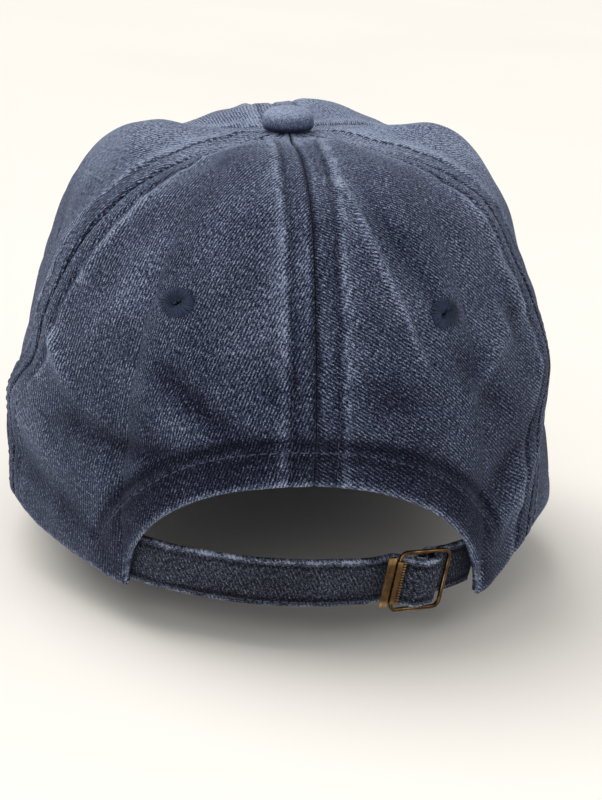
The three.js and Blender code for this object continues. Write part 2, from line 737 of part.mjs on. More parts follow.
function tabGeometry() {
  // a folded cloth tab: an eye round the post and a tongue that runs to the crown's corner
  const outside = TAB_HOLE + TAB_CLOTH;
  const eye = uprightPlate(ringShape(TAB_HOLE, outside, 20), TAB_HALF);
  eye.translate(0, -POST_DROP, 0);
  const under = -BUCKLE_OFF - STRAP_CLOTH / 2 - 0.6;
  const bend = (x) => under - (x * x) / (2 * STRAP_RADIUS);
  const tongue = new THREE.Shape();
  const stations = spaced(-6, -TAB_END, 8);
  tongue.moveTo(-0.4, -POST_DROP - TAB_HOLE - 0.1);
  tongue.lineTo(-1.6, -POST_DROP - TAB_HOLE - 0.1);
  for (const x of stations) tongue.lineTo(x, bend(x));
  for (const x of stations.reverse()) tongue.lineTo(x, bend(x) - 1.5);
  tongue.lineTo(-0.4, -POST_DROP - outside + 0.05);
  tongue.closePath();
  return joined(eye, uprightPlate(tongue, TAB_HALF));
}

function clampGeometry() {
  // a sleeve round the bar, a flat lever outside the frame and a row of teeth inside it
  const half = FRAME_HALF_Z - FRAME_CORNER - 0.2;
  const outside = CURL_HOLE + CURL;
  const root = CURL_HOLE + 0.2; // lever and teeth start inside the sleeve's wall
  const sleeve = uprightPlate(ringShape(CURL_HOLE, outside, 16), half);
  const lever = new THREE.BoxGeometry(LEVER_REACH - root, CURL, 2 * half);
  lever.translate((LEVER_REACH + root) / 2, 0, 0);
  const comb = new THREE.Shape();
  const pitch = (2 * half) / TEETH;
  comb.moveTo(root, -half);
  for (let i = 0; i < TEETH; i++) {
    comb.lineTo(outside + 0.1, -half + pitch * i + 0.02);
    comb.lineTo(outside + 0.1 + TOOTH_DEPTH, -half + pitch * (i + 0.5));
  }
  comb.lineTo(outside + 0.1, half - 0.02);
  comb.lineTo(root, half);
  comb.closePath();
  const teeth = new THREE.ExtrudeGeometry(comb, { depth: TOOTH_THICKNESS, steps: 1, bevelEnabled: false });
  teeth.rotateX(Math.PI / 2);
  teeth.translate(0, TOOTH_THICKNESS / 2, 0);
  teeth.rotateZ((180 + TEETH_LEAN) * DEG);
  return joined(sleeve, lever, teeth);
}

piece('buckle_frame', frameGeometry(), material(BRASS, 0.38, 0.9), buckle);
piece('buckle_tab', tabGeometry(), material(NAVY_DARK), buckle);
const clamp = piece('buckle_clamp', clampGeometry(), material(BRASS, 0.42, 0.9), buckle);
clamp.position.set(FRAME_HALF_X, 0, 0);

export default cap;
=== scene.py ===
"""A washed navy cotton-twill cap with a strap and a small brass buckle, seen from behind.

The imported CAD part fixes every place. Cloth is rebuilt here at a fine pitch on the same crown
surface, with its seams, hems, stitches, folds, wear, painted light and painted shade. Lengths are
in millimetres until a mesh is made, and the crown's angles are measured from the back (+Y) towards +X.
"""

import math

import bmesh
import bpy
import numpy as np
from mathutils import Matrix, Vector
from mathutils.kdtree import KDTree


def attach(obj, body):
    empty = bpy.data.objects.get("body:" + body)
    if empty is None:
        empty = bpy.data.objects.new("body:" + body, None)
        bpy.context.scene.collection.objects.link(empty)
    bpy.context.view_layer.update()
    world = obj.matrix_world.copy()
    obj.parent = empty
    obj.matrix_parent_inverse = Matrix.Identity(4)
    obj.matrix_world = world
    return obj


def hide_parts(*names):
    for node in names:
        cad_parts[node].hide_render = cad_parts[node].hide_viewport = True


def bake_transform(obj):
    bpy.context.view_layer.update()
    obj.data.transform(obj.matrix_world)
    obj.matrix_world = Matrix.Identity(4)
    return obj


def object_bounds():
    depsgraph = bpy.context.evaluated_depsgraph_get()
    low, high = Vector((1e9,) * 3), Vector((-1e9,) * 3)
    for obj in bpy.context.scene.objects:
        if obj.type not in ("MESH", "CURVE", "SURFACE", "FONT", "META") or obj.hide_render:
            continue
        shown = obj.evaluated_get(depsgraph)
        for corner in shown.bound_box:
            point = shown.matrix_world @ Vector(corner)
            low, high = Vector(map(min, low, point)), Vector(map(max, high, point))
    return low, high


MM = 0.001

# ---------- the crown's surface, as the CAD source defines it ----------
HALF_WIDTH, HALF_LENGTH, CROWN_HEIGHT = 86.5, 92.9, 116.8
SIDE_POWER, TOP_POWER, BULGE = 2.62, 4.64, 0.019
TOP_SHIFT, TOP_LEAN, TOP_TILT, BUTTON_RISE = 3.8, 4.5, 4.0, 3.0
SEAM_WARP = math.radians(7)
SWING_LEFT, SWING_RIGHT, SWING_MIDDLE = math.radians(14), math.radians(5), math.radians(4)
PUFF_BACK, PUFF_SIDE, PUFF_FRONT, SIDE_HOLLOW = 3.0, 5.5, 6.2, 0.092
FRONT_RISE, FRONT_SPAN = 16.0, math.radians(66)
EAR_RISE, CORNER_DROP = 8.0, 2.8
ARCH_HALF, ARCH_TOP = math.radians(36), 36.0
TOP_HOLE = 0.035
CLOTH, TAPE, LAYER_GAP, SEAM_GAP = 1.2, 0.8, 0.4, 0.15
TAPE_OUT = -CLOTH - LAYER_GAP
BAND_OUT = TAPE_OUT - TAPE - LAYER_GAP
BAND_CLOTH, BAND_HEIGHT, BAND_END = 1.4, 32.0, math.radians(46)
FACING_WIDTH = 12.0
EYELET_HEIGHT = 0.7 * CROWN_HEIGHT

VISOR_REACH, VISOR_HALF_ANGLE = 68.0, math.radians(64)
VISOR_TILT, VISOR_CAMBER, VISOR_TIP = math.radians(12), 112.6, 0.98
VISOR_CLOTH, BOARD, BOARD_INSET = 0.9, 1.6, 5.0
BOARD_HALF, BOARD_REACH = 70, 0.91  # half the visor's width; how far the board reaches along it
EYELET_WIDE, EYELET_TALL = 5.0, 4.1
VISOR_FOLD = 0.045  # share of its reach where the cloth closes over the board's inner edge

STRAP_HEIGHT, STRAP_CLOTH = 14.7, 1.8
STRAP_RADIUS, STRAP_CENTRE_Y, STRAP_Z, STRAP_SLOPE = 73.0, 17.2, 5.4, -0.01
STRAP_LEAN, STRAP_END, TAIL_END = math.radians(5), 57.0, 24.0
STRAP_ROUTE = [
    (-14, 0), (-10, 0), (-8, -0.2), (-6.8, 0.5), (-5.7, 2.4), (-4.6, 4.3), (-2.4, 5.2), (0, 5.35),
    (2, 4.9), (4, 3.0), (6, 0.5), (8, -0.9), (10, -0.7), (14, 0),
]
BUCKLE_ANGLE, BUCKLE_TURN, BUCKLE_OFF = math.radians(25.1), math.radians(5.1), 3.4
BUCKLE_AT = -STRAP_RADIUS * BUCKLE_ANGLE
WIRE, FRAME_HALF_X, FRAME_HALF_Z, FRAME_CORNER, POST_DROP = 0.65, 8.5, 8.9, 2.1, 1.7
TAB_HOLE, TAB_CLOTH, TAB_HALF, TAB_END = 1.2, 0.9, 7.0, 20.0
WIRE_SEEN, WIRE_OUT = 0.56, 0.12  # the worn wire is a little thinner and wider set than the CAD's
SLEEVE_HOLE, SLEEVE = 0.74, 0.4  # and the sleeve is drawn close round it
CURL_HOLE, CURL, LEVER_REACH, TEETH = 1.1, 0.5, 3.9, 16
BUTTON_RADIUS, BUTTON_HEIGHT = 8.0, 7.1

# ---------- how the cloth is sewn ----------
SEAM_BAND = 6.4  # topstitching each side of a seam
HEM = 11.5  # folded hem round the rear opening
RIM_ROW = 9.0  # stitching above the rim elsewhere
STITCH, THREAD = 2.9, 0.2  # stitch length and thread radius
TWILL_PITCH = 0.95

# name, first angle, angle of the twill's diagonals as seen from outside
PANELS = [
    ("back_panel_left", 0, 76),
    ("side_panel_left", 60, 100),
    ("front_panel_left", 120, 66),
    ("front_panel_right", 180, -38),
    ("side_panel_right", -120, -62),
    ("back_panel_right", -60, -36),
]

# Folds of the settled crown: start and end as (angle, height), half width, height of the ridge.
FOLDS = [
    ((-12, 118), (-24, 64), 1.5, 1.6),
    ((-18, 114), (-29, 84), 4.5, -0.9),
    ((4, 68), (9, 58), 3.5, -1.0),
    ((-30, 74), (-43, 52), 5.0, -1.0),
    ((-8, 66), (-21, 57), 4.5, -0.8),
    ((-52, 96), (-55, 77), 1.7, 0.9),
    ((-46, 82), (-47, 71), 1.8, 0.8),
    ((-47, 74), (-33, 56), 2.4, 1.0),
    ((-51, 82), (-49, 68), 3.0, -0.8),
    ((31, 65), (13, 47), 3.4, -1.4),
    ((37, 60), (22, 46), 4.0, 0.8),
    ((48, 42), (23, 40), 3.4, -1.4),
    ((58, 68), (47, 49), 1.8, 1.1),
    ((40, 100), (44, 70), 6.0, 0.7),
    ((44, 24), (70, 44), 5.0, 1.0),
    ((40, 10), (66, 26), 4.5, -0.9),
    ((-38, 14), (-64, 36), 5.5, 1.3),
    ((-37, 28), (-60, 50), 5.0, -1.0),
    ((74, 96), (88, 30), 5.0, 1.2),
    ((-72, 88), (-84, 30), 6.0, 1.1),
    ((-88, 84), (-98, 54), 7.0, -1.1),
    ((-66, 10), (-104, 15), 9.0, 1.8),
    ((-72, 42), (-100, 40), 8.0, -1.5),
    ((132, 84), (150, 44), 8.0, 1.2),
    ((-140, 90), (-158, 50), 9.0, -1.1),
]

FOLD_BOW = 1.0  # how far a fold's middle swings aside, mm
DEGREE = 1.5  # millimetres of cloth to one degree round the crown, near enough for a fold

# Soft billows and dips of the settled top: x, y, radius, height.
BILLOWS = [
    (-22, -46, 24, 3.0),
    (5, -42, 10, -1.6),
    (-56, -22, 16, 2.0),
    (-41, 9, 12, 3.6),
    (47, 0, 12, 1.4),
]

# ---------- the camera ----------
CAMERA_AZIMUTH, CAMERA_ELEVATION, CAMERA_ROLL = 7.854, 17.269, 4.172
CAMERA_DISTANCE, CAMERA_LENS = 593.8, 82.2
CAMERA_AIM = (-6.25, 0.0, 31.1)


# ---------- surface mathematics ----------
def wavy(points, wavelength, seed, waves=26):
    """A smooth random field of unit strength: a sum of seeded plane waves."""
    rng = np.random.default_rng(seed)
    directions = rng.normal(size=(waves, 3))
    directions /= np.linalg.norm(directions, axis=1)[:, None]
    scales = 2 * math.pi / wavelength * rng.uniform(0.7, 1.4, waves)
    phases = rng.uniform(0, 2 * math.pi, waves)
    total = np.zeros(points.shape[:-1])
    for direction, scale, phase in zip(directions, scales, phases):
        total += np.sin(points @ direction * scale + phase)
    return total / math.sqrt(waves / 2)


def ease(value, low, high):
    t = np.clip((value - low) / (high - low), 0, 1)
    return t * t * (3 - 2 * t)


def hump(distance, centre, half):
    """A bell of unit height round a centre."""
    return np.exp(-(((distance - centre) / half) ** 2))


def unit(vectors):
    return vectors / np.linalg.norm(vectors, axis=-1, keepdims=True)


def profile_table():
    beta = np.linspace(0, math.pi / 2, 3601)
    sines, cosines = np.sin(beta), np.cos(beta)
    low, high = np.zeros_like(beta), np.full_like(beta, 2.0)
    for _ in range(50):
        middle = (low + high) / 2
        inside = (middle * sines) ** SIDE_POWER + (middle * cosines) ** TOP_POWER < 1
        low, high = np.where(inside, middle, low), np.where(inside, high, middle)
    return beta, np.minimum(low * sines, 1), np.maximum(low * cosines, 0)


BETA, HEIGHTS, RADII = profile_table()


def wrap(u):
    return (u + math.pi) % (2 * math.pi) - math.pi


def pulse(angle, centre, half):
    away = np.abs(angle - math.radians(centre)) / math.radians(half)
    return np.where(away < 1, np.cos(np.minimum(away, 1) * math.pi / 2) ** 2, 0)


def rim_height(u):
    a = np.abs(wrap(u))
    front = np.minimum((math.pi - a) / FRONT_SPAN, 1)
    visor = FRONT_RISE * 0.5 * (1 + np.cos(math.pi * front))
    return visor + EAR_RISE * pulse(a, 76, 38) - CORNER_DROP * pulse(a, 36, 26)


def arch_height(u):
    a = np.abs(wrap(u))
    foot = float(rim_height(ARCH_HALF))
    inside = foot + (ARCH_TOP - foot) * np.sqrt(np.maximum(1 - (a / ARCH_HALF) ** 2, 0))
    return np.where(a < ARCH_HALF, inside, rim_height(u))


def crown_point(u, beta):
    u, beta = np.broadcast_arrays(np.asarray(u, float), np.asarray(beta, float))
    h, r = np.interp(beta, BETA, HEIGHTS), np.interp(beta, BETA, RADII)
    angle = wrap(u)
    a = np.abs(angle)
    degrees = np.degrees(a)
    warp = np.where(degrees < 120, SEAM_WARP * h**4 * np.sin(a * 1.5), 0)
    low = 1 - ease(h, 0.3, 0.5)
    middle = np.sign(angle) * SWING_MIDDLE * np.sin(math.pi * h) ** 2 * (1 - low)
    swing = pulse(a, 60, 24) * (np.where(angle > 0, SWING_LEFT, SWING_RIGHT) * low + middle)
    theta = angle - np.sign(angle) * warp + swing

    def puff(first, span):
        t = np.clip((degrees - first) / span, 0, 1)
        return np.maximum(np.sin(math.pi * t), 0) ** 1.7

    back, side, front = puff(0, 60), puff(60, 60), puff(120, 120)
    front = np.where(degrees >= 120, front, 0)
    swell = 1 + BULGE * np.sin(math.pi * np.minimum(h / 0.75, 1))
    hollow = 1 - SIDE_HOLLOW * side * np.sin(math.pi * h**1.5)
    x = HALF_WIDTH * np.sin(theta) * r * swell * hollow + TOP_LEAN * h
    y = HALF_LENGTH * np.cos(theta) * r * swell * hollow + TOP_SHIFT * h
    open_share = np.maximum((r - 0.1) / 0.9, 0)
    ring = (4 * open_share * (1 - open_share)).clip(0) ** 0.7
    rise = BUTTON_RISE * np.maximum(1 - r / 0.35, 0) ** 2
    rim = rim_height(u)
    billow = (PUFF_BACK * back + PUFF_SIDE * side + PUFF_FRONT * front) * h**2.4 * ring
    z = rim + (CROWN_HEIGHT - rim) * h + billow + rise - TOP_TILT * x * h * h / HALF_WIDTH
    return np.stack([x, y, z], -1)


def crown_frame(u, beta, step=1e-3):
    """Unit normal, and the length of a unit of u there."""
    across = (crown_point(u + step, beta) - crown_point(u - step, beta)) / (2 * step)
    up = crown_point(u, beta + step) - crown_point(u, np.maximum(beta - step, 0))
    return unit(np.cross(up, across)), np.linalg.norm(across, axis=-1)


def beta_at_height(u, z):
    u, z = np.broadcast_arrays(np.asarray(u, float), np.asarray(z, float))
    low, high = np.zeros(u.shape), np.full(u.shape, math.radians(60))
    for _ in range(36):
        middle = (low + high) / 2
        below = crown_point(u, middle)[..., 2] < z
        low, high = np.where(below, middle, low), np.where(below, high, middle)
    return (low + high) / 2


BETA_TOP = float(np.interp(-TOP_HOLE, -RADII, BETA))


def edge_tree():
    """The crown's lower edge as points close together."""
    arch = ARCH_HALF * np.sin(np.linspace(-math.pi / 2, math.pi / 2, 900))
    rest = np.linspace(ARCH_HALF, 2 * math.pi - ARCH_HALF, 1500)
    u = np.concatenate([arch, rest])
    points = crown_point(u, beta_at_height(u, arch_height(u)))
    tree = KDTree(len(points))
    for index, point in enumerate(points):
        tree.insert(point, index)
    tree.balance()
    return tree


EDGE = edge_tree()


def edge_distance(points):
    flat = points.reshape(-1, 3)
    found = np.array([EDGE.find(point)[2] for point in flat.tolist()])
    return found.reshape(points.shape[:-1])


def seam_distance(u, metric):
    """Distance to the nearest panel seam, widened near the top so that the sewn bands narrow."""
    away = np.abs((u + math.pi / 6) % (math.pi / 3) - math.pi / 6)
    gore = metric * math.pi / 3
    squeeze = np.minimum(1, 0.4 * gore / SEAM_BAND)
    return away * metric / np.maximum(squeeze, 0.05)


def fold_relief(u, z):
    """How far the listed folds stand off the cloth."""
    relief = np.zeros(np.shape(u))
    degrees = np.degrees(wrap(u))
    for (u0, z0), (u1, z1), half, height in FOLDS:
        a = np.stack([(degrees - u0) * DEGREE, z - z0], -1)
        b = np.array([(u1 - u0) * DEGREE, z1 - z0])
        t = a @ b / (b @ b)
        along = ease(t, -0.15, 0.3) * (1 - ease(t, 0.7, 1.15))
        aside = a - np.clip(t, -0.2, 1.2)[..., None] * b
        bow = FOLD_BOW * np.sin(np.clip(t, 0, 1) * math.pi)
        distance = (aside[..., 0] * b[1] - aside[..., 1] * b[0]) / math.hypot(*b) + bow
        relief += height * along * hump(distance, 0, half)
    return relief


def crown_relief(u, points, radius_share):
    """How far the worn cloth stands off the CAD's smooth crown."""
    calm = ease(radius_share, 0.06, 0.25)
    soft = 0.5 * wavy(points, 60, 11) + 0.3 * wavy(points, 26, 12) + 0.1 * wavy(points, 12, 13)
    top = ease(points[..., 2], 70, 100)
    for x, y, reach, height in BILLOWS:
        away = np.hypot(points[..., 0] - x, points[..., 1] - y)
        soft = soft + top * height * hump(away, 0, reach)
    return calm * (soft + fold_relief(u, points[..., 2]))


class Crown:
    """The sewn outer face of the crown at the given angles and betas."""

    def __init__(self, u, beta):
        self.u, self.beta = np.broadcast_arrays(np.asarray(u, float), np.asarray(beta, float))
        self.base = crown_point(self.u, self.beta)
        self.normal, self.metric = crown_frame(self.u, self.beta)
        radius = np.interp(self.beta, BETA, RADII)
        self.relief = crown_relief(self.u, self.base, radius)
        self.seam = seam_distance(self.u, self.metric)
        self.edge = edge_distance(self.base)
        self.arch = 1 - ease(np.abs(wrap(self.u)), ARCH_HALF + 0.02, ARCH_HALF + 0.16)

    def sewn(self):
        """Seam bands, grooves and the hem, in millimetres."""
        near = 1 - ease(self.edge, 6, 16)
        band = 0.45 * (1 - ease(self.seam, 5.6, 6.6))
        groove = -0.8 * hump(self.seam, 0, 0.75) - 0.4 * hump(self.seam, SEAM_BAND, 0.65)
        ridge = 0.4 * hump(self.seam, 8.8, 2.0)
        pucker = 0.16 * wavy(self.base, 8, 21) * hump(self.seam, 8.5, 4)
        doubled = 0.7 * (1 - ease(self.edge, HEM - 1, HEM + 0.6))
        hem = self.arch * (doubled - 0.7 * hump(self.edge, HEM + 0.8, 1.3))
        hem += self.arch * 0.35 * hump(self.edge, HEM + 4.5, 3)
        row = -0.3 * (1 - self.arch) * hump(self.edge, RIM_ROW, 0.7)
        row -= 0.3 * self.arch * hump(self.edge, HEM - 1.6, 0.6)
        return (band + ridge + pucker) * (1 - 0.6 * near) + groove + hem + row

    def outer(self):
        rolled = 0.62 * CLOTH * (1 - np.clip(self.edge / 1.3, 0, 1)) ** 2
        return self.base + self.normal * (self.relief + self.sewn() - rolled)[..., None]

    def inner(self):
        rolled = 0.3 * CLOTH * (1 - np.clip(self.edge / 1.3, 0, 1)) ** 2
        return self.base + self.normal * (self.relief - CLOTH + rolled)[..., None]

    def layer(self, offset):
        """A face of an inner layer, which settles with the crown."""
        return self.base + self.normal * (self.relief + offset)[..., None]

    # Real wear on seam ridges, edges and fold crests, plus painted light: a lighter top and a lighter left
    # side.
    def wear(self):
        patchy = 0.75 + 0.25 * wavy(self.base, 6, 31)
        ridge = 0.6 * hump(self.seam, 8.7, 1.3) + 0.2 * hump(self.seam, 10.5, 3)
        ridge = ridge + 0.2 * hump(self.seam, 1.9, 1.0)
        edge = 0.7 * hump(self.edge, 0, 1.3) + self.arch * 0.45 * hump(self.edge, HEM - 1.2, 0.8)
        crest = np.clip(fold_relief(self.u, self.base[..., 2]), 0, 2) * 0.32
        # The top, except towards the back, is lighter: partly sun fading, partly painted light from above.
        faded_and_lit_top = 0.65 * ease(self.base[..., 2], 96, 116) * (1 - ease(self.base[..., 1], 12, 48))
        # Painted light: the left side (+X) is lightened as if lit from that side.
        left = 0.12 * ease(self.base[..., 0], 62, 84)
        return np.clip((ridge + edge) * patchy + crest + faded_and_lit_top + left, 0, 1)

    def shade(self):
        back = hump(wrap(self.u), 0, 0.25)
        seam = (0.4 + 0.3 * back) * hump(self.seam, 0, 0.9)
        seam = seam + (0.25 + 0.3 * back) * hump(self.seam, SEAM_BAND, 0.9)
        hem = self.arch * (0.9 * hump(self.edge, HEM + 0.6, 2.0) + 0.45 * hump(self.edge, HEM - 3, 1.0))
        valley = np.clip(-fold_relief(self.u, self.base[..., 2]), 0, 2) * 0.4
        band = 0.05 * back * (1 - ease(self.seam, 5.5, 7))
        band = band + 0.4 * self.arch * (1 - ease(self.edge, HEM, HEM + 3))
        low = 0.33 * (1 - ease(self.base[..., 2], 20, 115))
        return np.clip(seam + hem + valley + (low + band) * (1 - hump(self.edge, 0, 2)), 0, 1)


# ---------- meshes ----------
def mesh_object(name, vertices, faces, material, body, slot=None, replaces=(), **attributes):
    """A smooth mesh from millimetre vertices, riding on a body."""
    mesh = bpy.data.meshes.new(name)
    mesh.from_pydata((np.asarray(vertices, float).reshape(-1, 3) * MM).tolist(), [], faces)
    for key, values in attributes.items():
        values = np.asarray(values, np.float32)
        vector = values.ndim > 1
        kind = "FLOAT_VECTOR" if vector else "FLOAT"
        attribute = mesh.attributes.new(key, kind, "POINT")
        attribute.data.foreach_set("vector" if vector else "value", values.ravel())
    work = bmesh.new()
    work.from_mesh(mesh)
    bmesh.ops.recalc_face_normals(work, faces=work.faces)
    work.to_mesh(mesh)
    work.free()
    mesh.polygons.foreach_set("use_smooth", [True] * len(mesh.polygons))
    mesh.materials.append(material)
    made = bpy.data.objects.new(name, mesh)
    bpy.context.scene.collection.objects.link(made)
    if body:
        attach(made, body)
    if replaces:
        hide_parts(*replaces)
    return made


def sheet_faces(keep):
    """Both skins of a sheet on a grid and the walls between them, for the cells that are kept."""
    columns, rows = keep.shape
    stride = rows + 1
    layer = (columns + 1) * stride
    corner = np.arange(columns)[:, None] * stride + np.arange(rows)[None, :]

    def quads(mask, a, b, c, d):
        base = corner[mask]
        return np.stack([base + a, base + b, base + c, base + d], -1)

    faces = [
        quads(keep, 0, stride, stride + 1, 1),
        quads(keep, layer, layer + 1, layer + stride + 1, layer + stride),
    ]
    padded = np.pad(keep, 1)
    middle = padded[1:-1, 1:-1]
    for neighbour, a, b in (
        (padded[1:-1, :-2], 0, stride),
        (padded[1:-1, 2:], 1, stride + 1),
        (padded[:-2, 1:-1], 0, 1),
        (padded[2:, 1:-1], stride, stride + 1),
    ):
        faces.append(quads(middle & ~neighbour, a, b, layer + b, layer + a))
    return np.concatenate(faces)


def sheet_object(name, outer, inner, material, body, keep=None, **options):
    """A closed sheet between two grids of points, with per-point attributes on both."""
    columns, rows = outer.shape[:2]
    if keep is None:
        keep = np.ones((columns - 1, rows - 1), bool)
    faces = sheet_faces(keep)
    used, packed = np.unique(faces, return_inverse=True)
    vertices = np.concatenate([outer.reshape(-1, 3), inner.reshape(-1, 3)])[used]
    for key in ("weave", "wear", "shade"):
        if key in options:
            values = options[key]
            flat = values.reshape(-1, 3) if values.ndim == 3 else values.ravel()
            options[key] = np.concatenate([flat, flat])[used]
    faces = packed.reshape(faces.shape).tolist()
    return mesh_object(name, vertices, faces, material, body, **options)


def weave_points(x, y, angle, seed=0.0):
    """Cloth coordinates: across the twill's diagonals, along them, and a number for the piece."""
    a = math.radians(angle)
    across = -math.sin(a) * x + math.cos(a) * y
    along = math.cos(a) * x + math.sin(a) * y
    return np.stack([across, along, np.full(np.shape(x), float(seed))], -1)


def tube_points(path, radii, sides, reference):
    """Rings round a path of shape (..., n, 3); radii broadcast to (..., n)."""
    tangent = unit(np.gradient(path, axis=-2))
    side = unit(np.cross(tangent, reference))
    other = np.cross(side, tangent)
    turn = np.arange(sides) * 2 * math.pi / sides
    radii = np.broadcast_to(radii, path.shape[:-1])[..., None, None]
    spread = side[..., None, :] * np.cos(turn)[:, None] + other[..., None, :] * np.sin(turn)[:, None]
    return path[..., None, :] + radii * spread


def tube_faces(count, stations, sides, closed=False):
    """Faces of `count` separate tubes whose points are laid out tube by tube."""
    faces = []
    span = stations if closed else stations - 1
    for tube in range(count):
        start = tube * stations * sides
        for i in range(span):
            here, ahead = start + i * sides, start + ((i + 1) % stations) * sides
            for j in range(sides):
                k = (j + 1) % sides
                faces.append((here + j, here + k, ahead + k, ahead + j))
        if not closed:
            faces.append(tuple(start + j for j in range(sides)))
            faces.append(tuple(start + (stations - 1) * sides + j for j in range(sides)))
    return faces


def stitch_row(name, line, normals, material, body, pitch=STITCH, thread=THREAD, lift=0.05):
    """Lockstitches along a line of points: short threads that dive into the cloth at each end."""
    length = np.concatenate([[0], np.cumsum(np.linalg.norm(np.diff(line, axis=0), axis=1))])
    count = max(int(length[-1] / pitch), 1)
    stations, sides = 6, 5
    t = np.linspace(0, 1, stations)
    at = (np.arange(count)[:, None] + 0.12 + 0.76 * t) * length[-1] / count
    path = np.stack([np.interp(at, length, line[:, k]) for k in range(3)], -1)
    normal = unit(np.stack([np.interp(at, length, normals[:, k]) for k in range(3)], -1))
    arc = lift + thread * (1.9 * np.sin(math.pi * t) ** 0.5 - 1.5)
    path = path + normal * arc[None, :, None]
    radii = thread * (0.55 + 0.45 * np.sin(math.pi * t) ** 0.5)
    points = tube_points(path, radii, sides, normal)
    return mesh_object(name, points, tube_faces(count, stations, sides), material, body)


# ---------- materials ----------
def colour(r, g, b):
    """Linear colour from 8-bit sRGB numbers."""
    channels = [v / 255 for v in (r, g, b)]
    return tuple(v / 12.92 if v <= 0.04045 else ((v + 0.055) / 1.055) ** 2.4 for v in channels) + (1.0,)


class Graph:
    """A short way to write shader nodes."""

    def __init__(self, name):
        self.material = bpy.data.materials.new(name)
        self.material.use_nodes = True
        self.tree = self.material.node_tree
        self.shader = self.tree.nodes["Principled BSDF"]

    def node(self, kind, inputs=None, **settings):
        made = self.tree.nodes.new("ShaderNode" + kind)
        for key, value in settings.items():
            setattr(made, key, value)
        for key, value in (inputs or {}).items():
            self.put(made.inputs[key], value)
        return made

    def put(self, socket, value):
        if isinstance(value, bpy.types.NodeSocket):
            self.tree.links.new(value, socket)
        else:
            socket.default_value = value

    def math(self, operation, a, b=0.0, c=0.0):
        return self.node("Math", {0: a, 1: b, 2: c}, operation=operation).outputs[0]

    def scaled(self, vector, factors):
        return self.node("VectorMath", {0: vector, 1: factors}, operation="MULTIPLY").outputs[0]

    def noise(self, vector, scale=1.0, detail=3.0, roughness=0.55):
        inputs = {"Vector": vector, "Scale": scale, "Detail": detail, "Roughness": roughness}
        return self.node("TexNoise", inputs).outputs["Fac"]

    def attribute(self, name, output="Fac"):
        return self.node("Attribute", attribute_name=name).outputs[output]

    def spread(self, value, low, high, to_low=0.0, to_high=1.0):
        inputs = {"Value": value, "From Min": low, "From Max": high, "To Min": to_low, "To Max": to_high}
        return self.node("MapRange", inputs).outputs[0]

    def ramp(self, value, stops):
        made = self.node("ValToRGB", {"Fac": value})
        while len(made.color_ramp.elements) < len(stops):
            made.color_ramp.elements.new(0.5)
        for element, (place, tint) in zip(made.color_ramp.elements, stops):
            element.position = place
            element.color = tint
        return made.outputs["Color"]

    def bump(self, height, distance, strength=1.0):
        inputs = {"Height": height, "Distance": distance, "Strength": strength}
        self.put(self.shader.inputs["Normal"], self.node("Bump", inputs).outputs[0])

    def set(self, **values):
        for key, value in values.items():
            self.put(self.shader.inputs[key.replace("_", " ")], value)


def twill_material(name, stops, ridge=0.38, fleck=1.3, wear=0.4, sheen=0.28, bump=0.0002, tone=0.0):
    """Washed twill: broken diagonal ridges and flecked yarn, lightened by the wear attribute (wear, and
    painted light on the crown) and darkened by the shade attribute's painted shade in creases.
    """
    g = Graph(name)
    weave = g.attribute("weave", "Vector")
    drift = g.noise(g.scaled(weave, (0.1, 0.05, 1.0)), 1.0, 1.0)
    jitter = g.noise(g.scaled(weave, (1.6, 0.7, 1.0)), 1.0, 1.0)
    parts = g.node("SeparateXYZ", {0: weave})
    shifted = g.math("MULTIPLY_ADD", drift, 1.6, parts.outputs[0])
    shifted = g.math("MULTIPLY_ADD", jitter, 0.8, shifted)
    diagonal = g.math("SINE", g.math("MULTIPLY", shifted, 2 * math.pi / TWILL_PITCH))
    float_noise = g.noise(g.scaled(weave, (1.6, 0.85, 3.0)), 1.0, 2.0, 0.6)
    fleck_noise = g.noise(g.scaled(weave, (3.4, 2.2, 5.0)), 1.0, 2.0, 0.7)
    fade_noise = g.noise(g.scaled(weave, (0.05, 0.035, 2.0)), 1.0, 4.0, 0.62)
    height = g.math("MULTIPLY_ADD", diagonal, 0.5 * ridge, 0.5)
    height = g.math("MULTIPLY_ADD", g.math("SUBTRACT", float_noise, 0.5), 1.1 * fleck, height)
    height = g.math("MULTIPLY_ADD", g.math("SUBTRACT", fleck_noise, 0.5), 1.5 * fleck, height)
    value = g.math("MULTIPLY_ADD", g.math("SUBTRACT", fade_noise, 0.5), 0.45, height)
    value = g.math("MULTIPLY_ADD", g.attribute("wear"), wear, value)
    value = g.math("MULTIPLY_ADD", g.attribute("shade"), -0.4, value)
    value = g.math("ADD", value, tone)
    g.set(Base_Color=g.ramp(value, stops), Roughness=0.95)
    g.set(Sheen_Weight=sheen, Sheen_Roughness=0.28, Sheen_Tint=colour(190, 204, 232))
    g.set(Specular_IOR_Level=0.08)
    g.bump(height, bump)
    return g.material


def thread_material(name, dark, light, sheen=0.2):
    """Twisted sewing thread with a soft shine."""
    g = Graph(name)
    place = g.node("TexCoord").outputs["Object"]
    twist = g.noise(g.scaled(place, (2600.0, 2600.0, 900.0)), 1.0, 2.0)
    broad = g.noise(place, 90.0, 2.0)
    tone = g.math("MULTIPLY_ADD", broad, 0.5, g.math("MULTIPLY", twist, 0.6))
    g.set(Base_Color=g.ramp(tone, [(0.3, dark), (0.8, light)]), Roughness=0.6)
    g.set(Sheen_Weight=sheen, Specular_IOR_Level=0.3)
    g.bump(twist, 0.00008)
    return g.material


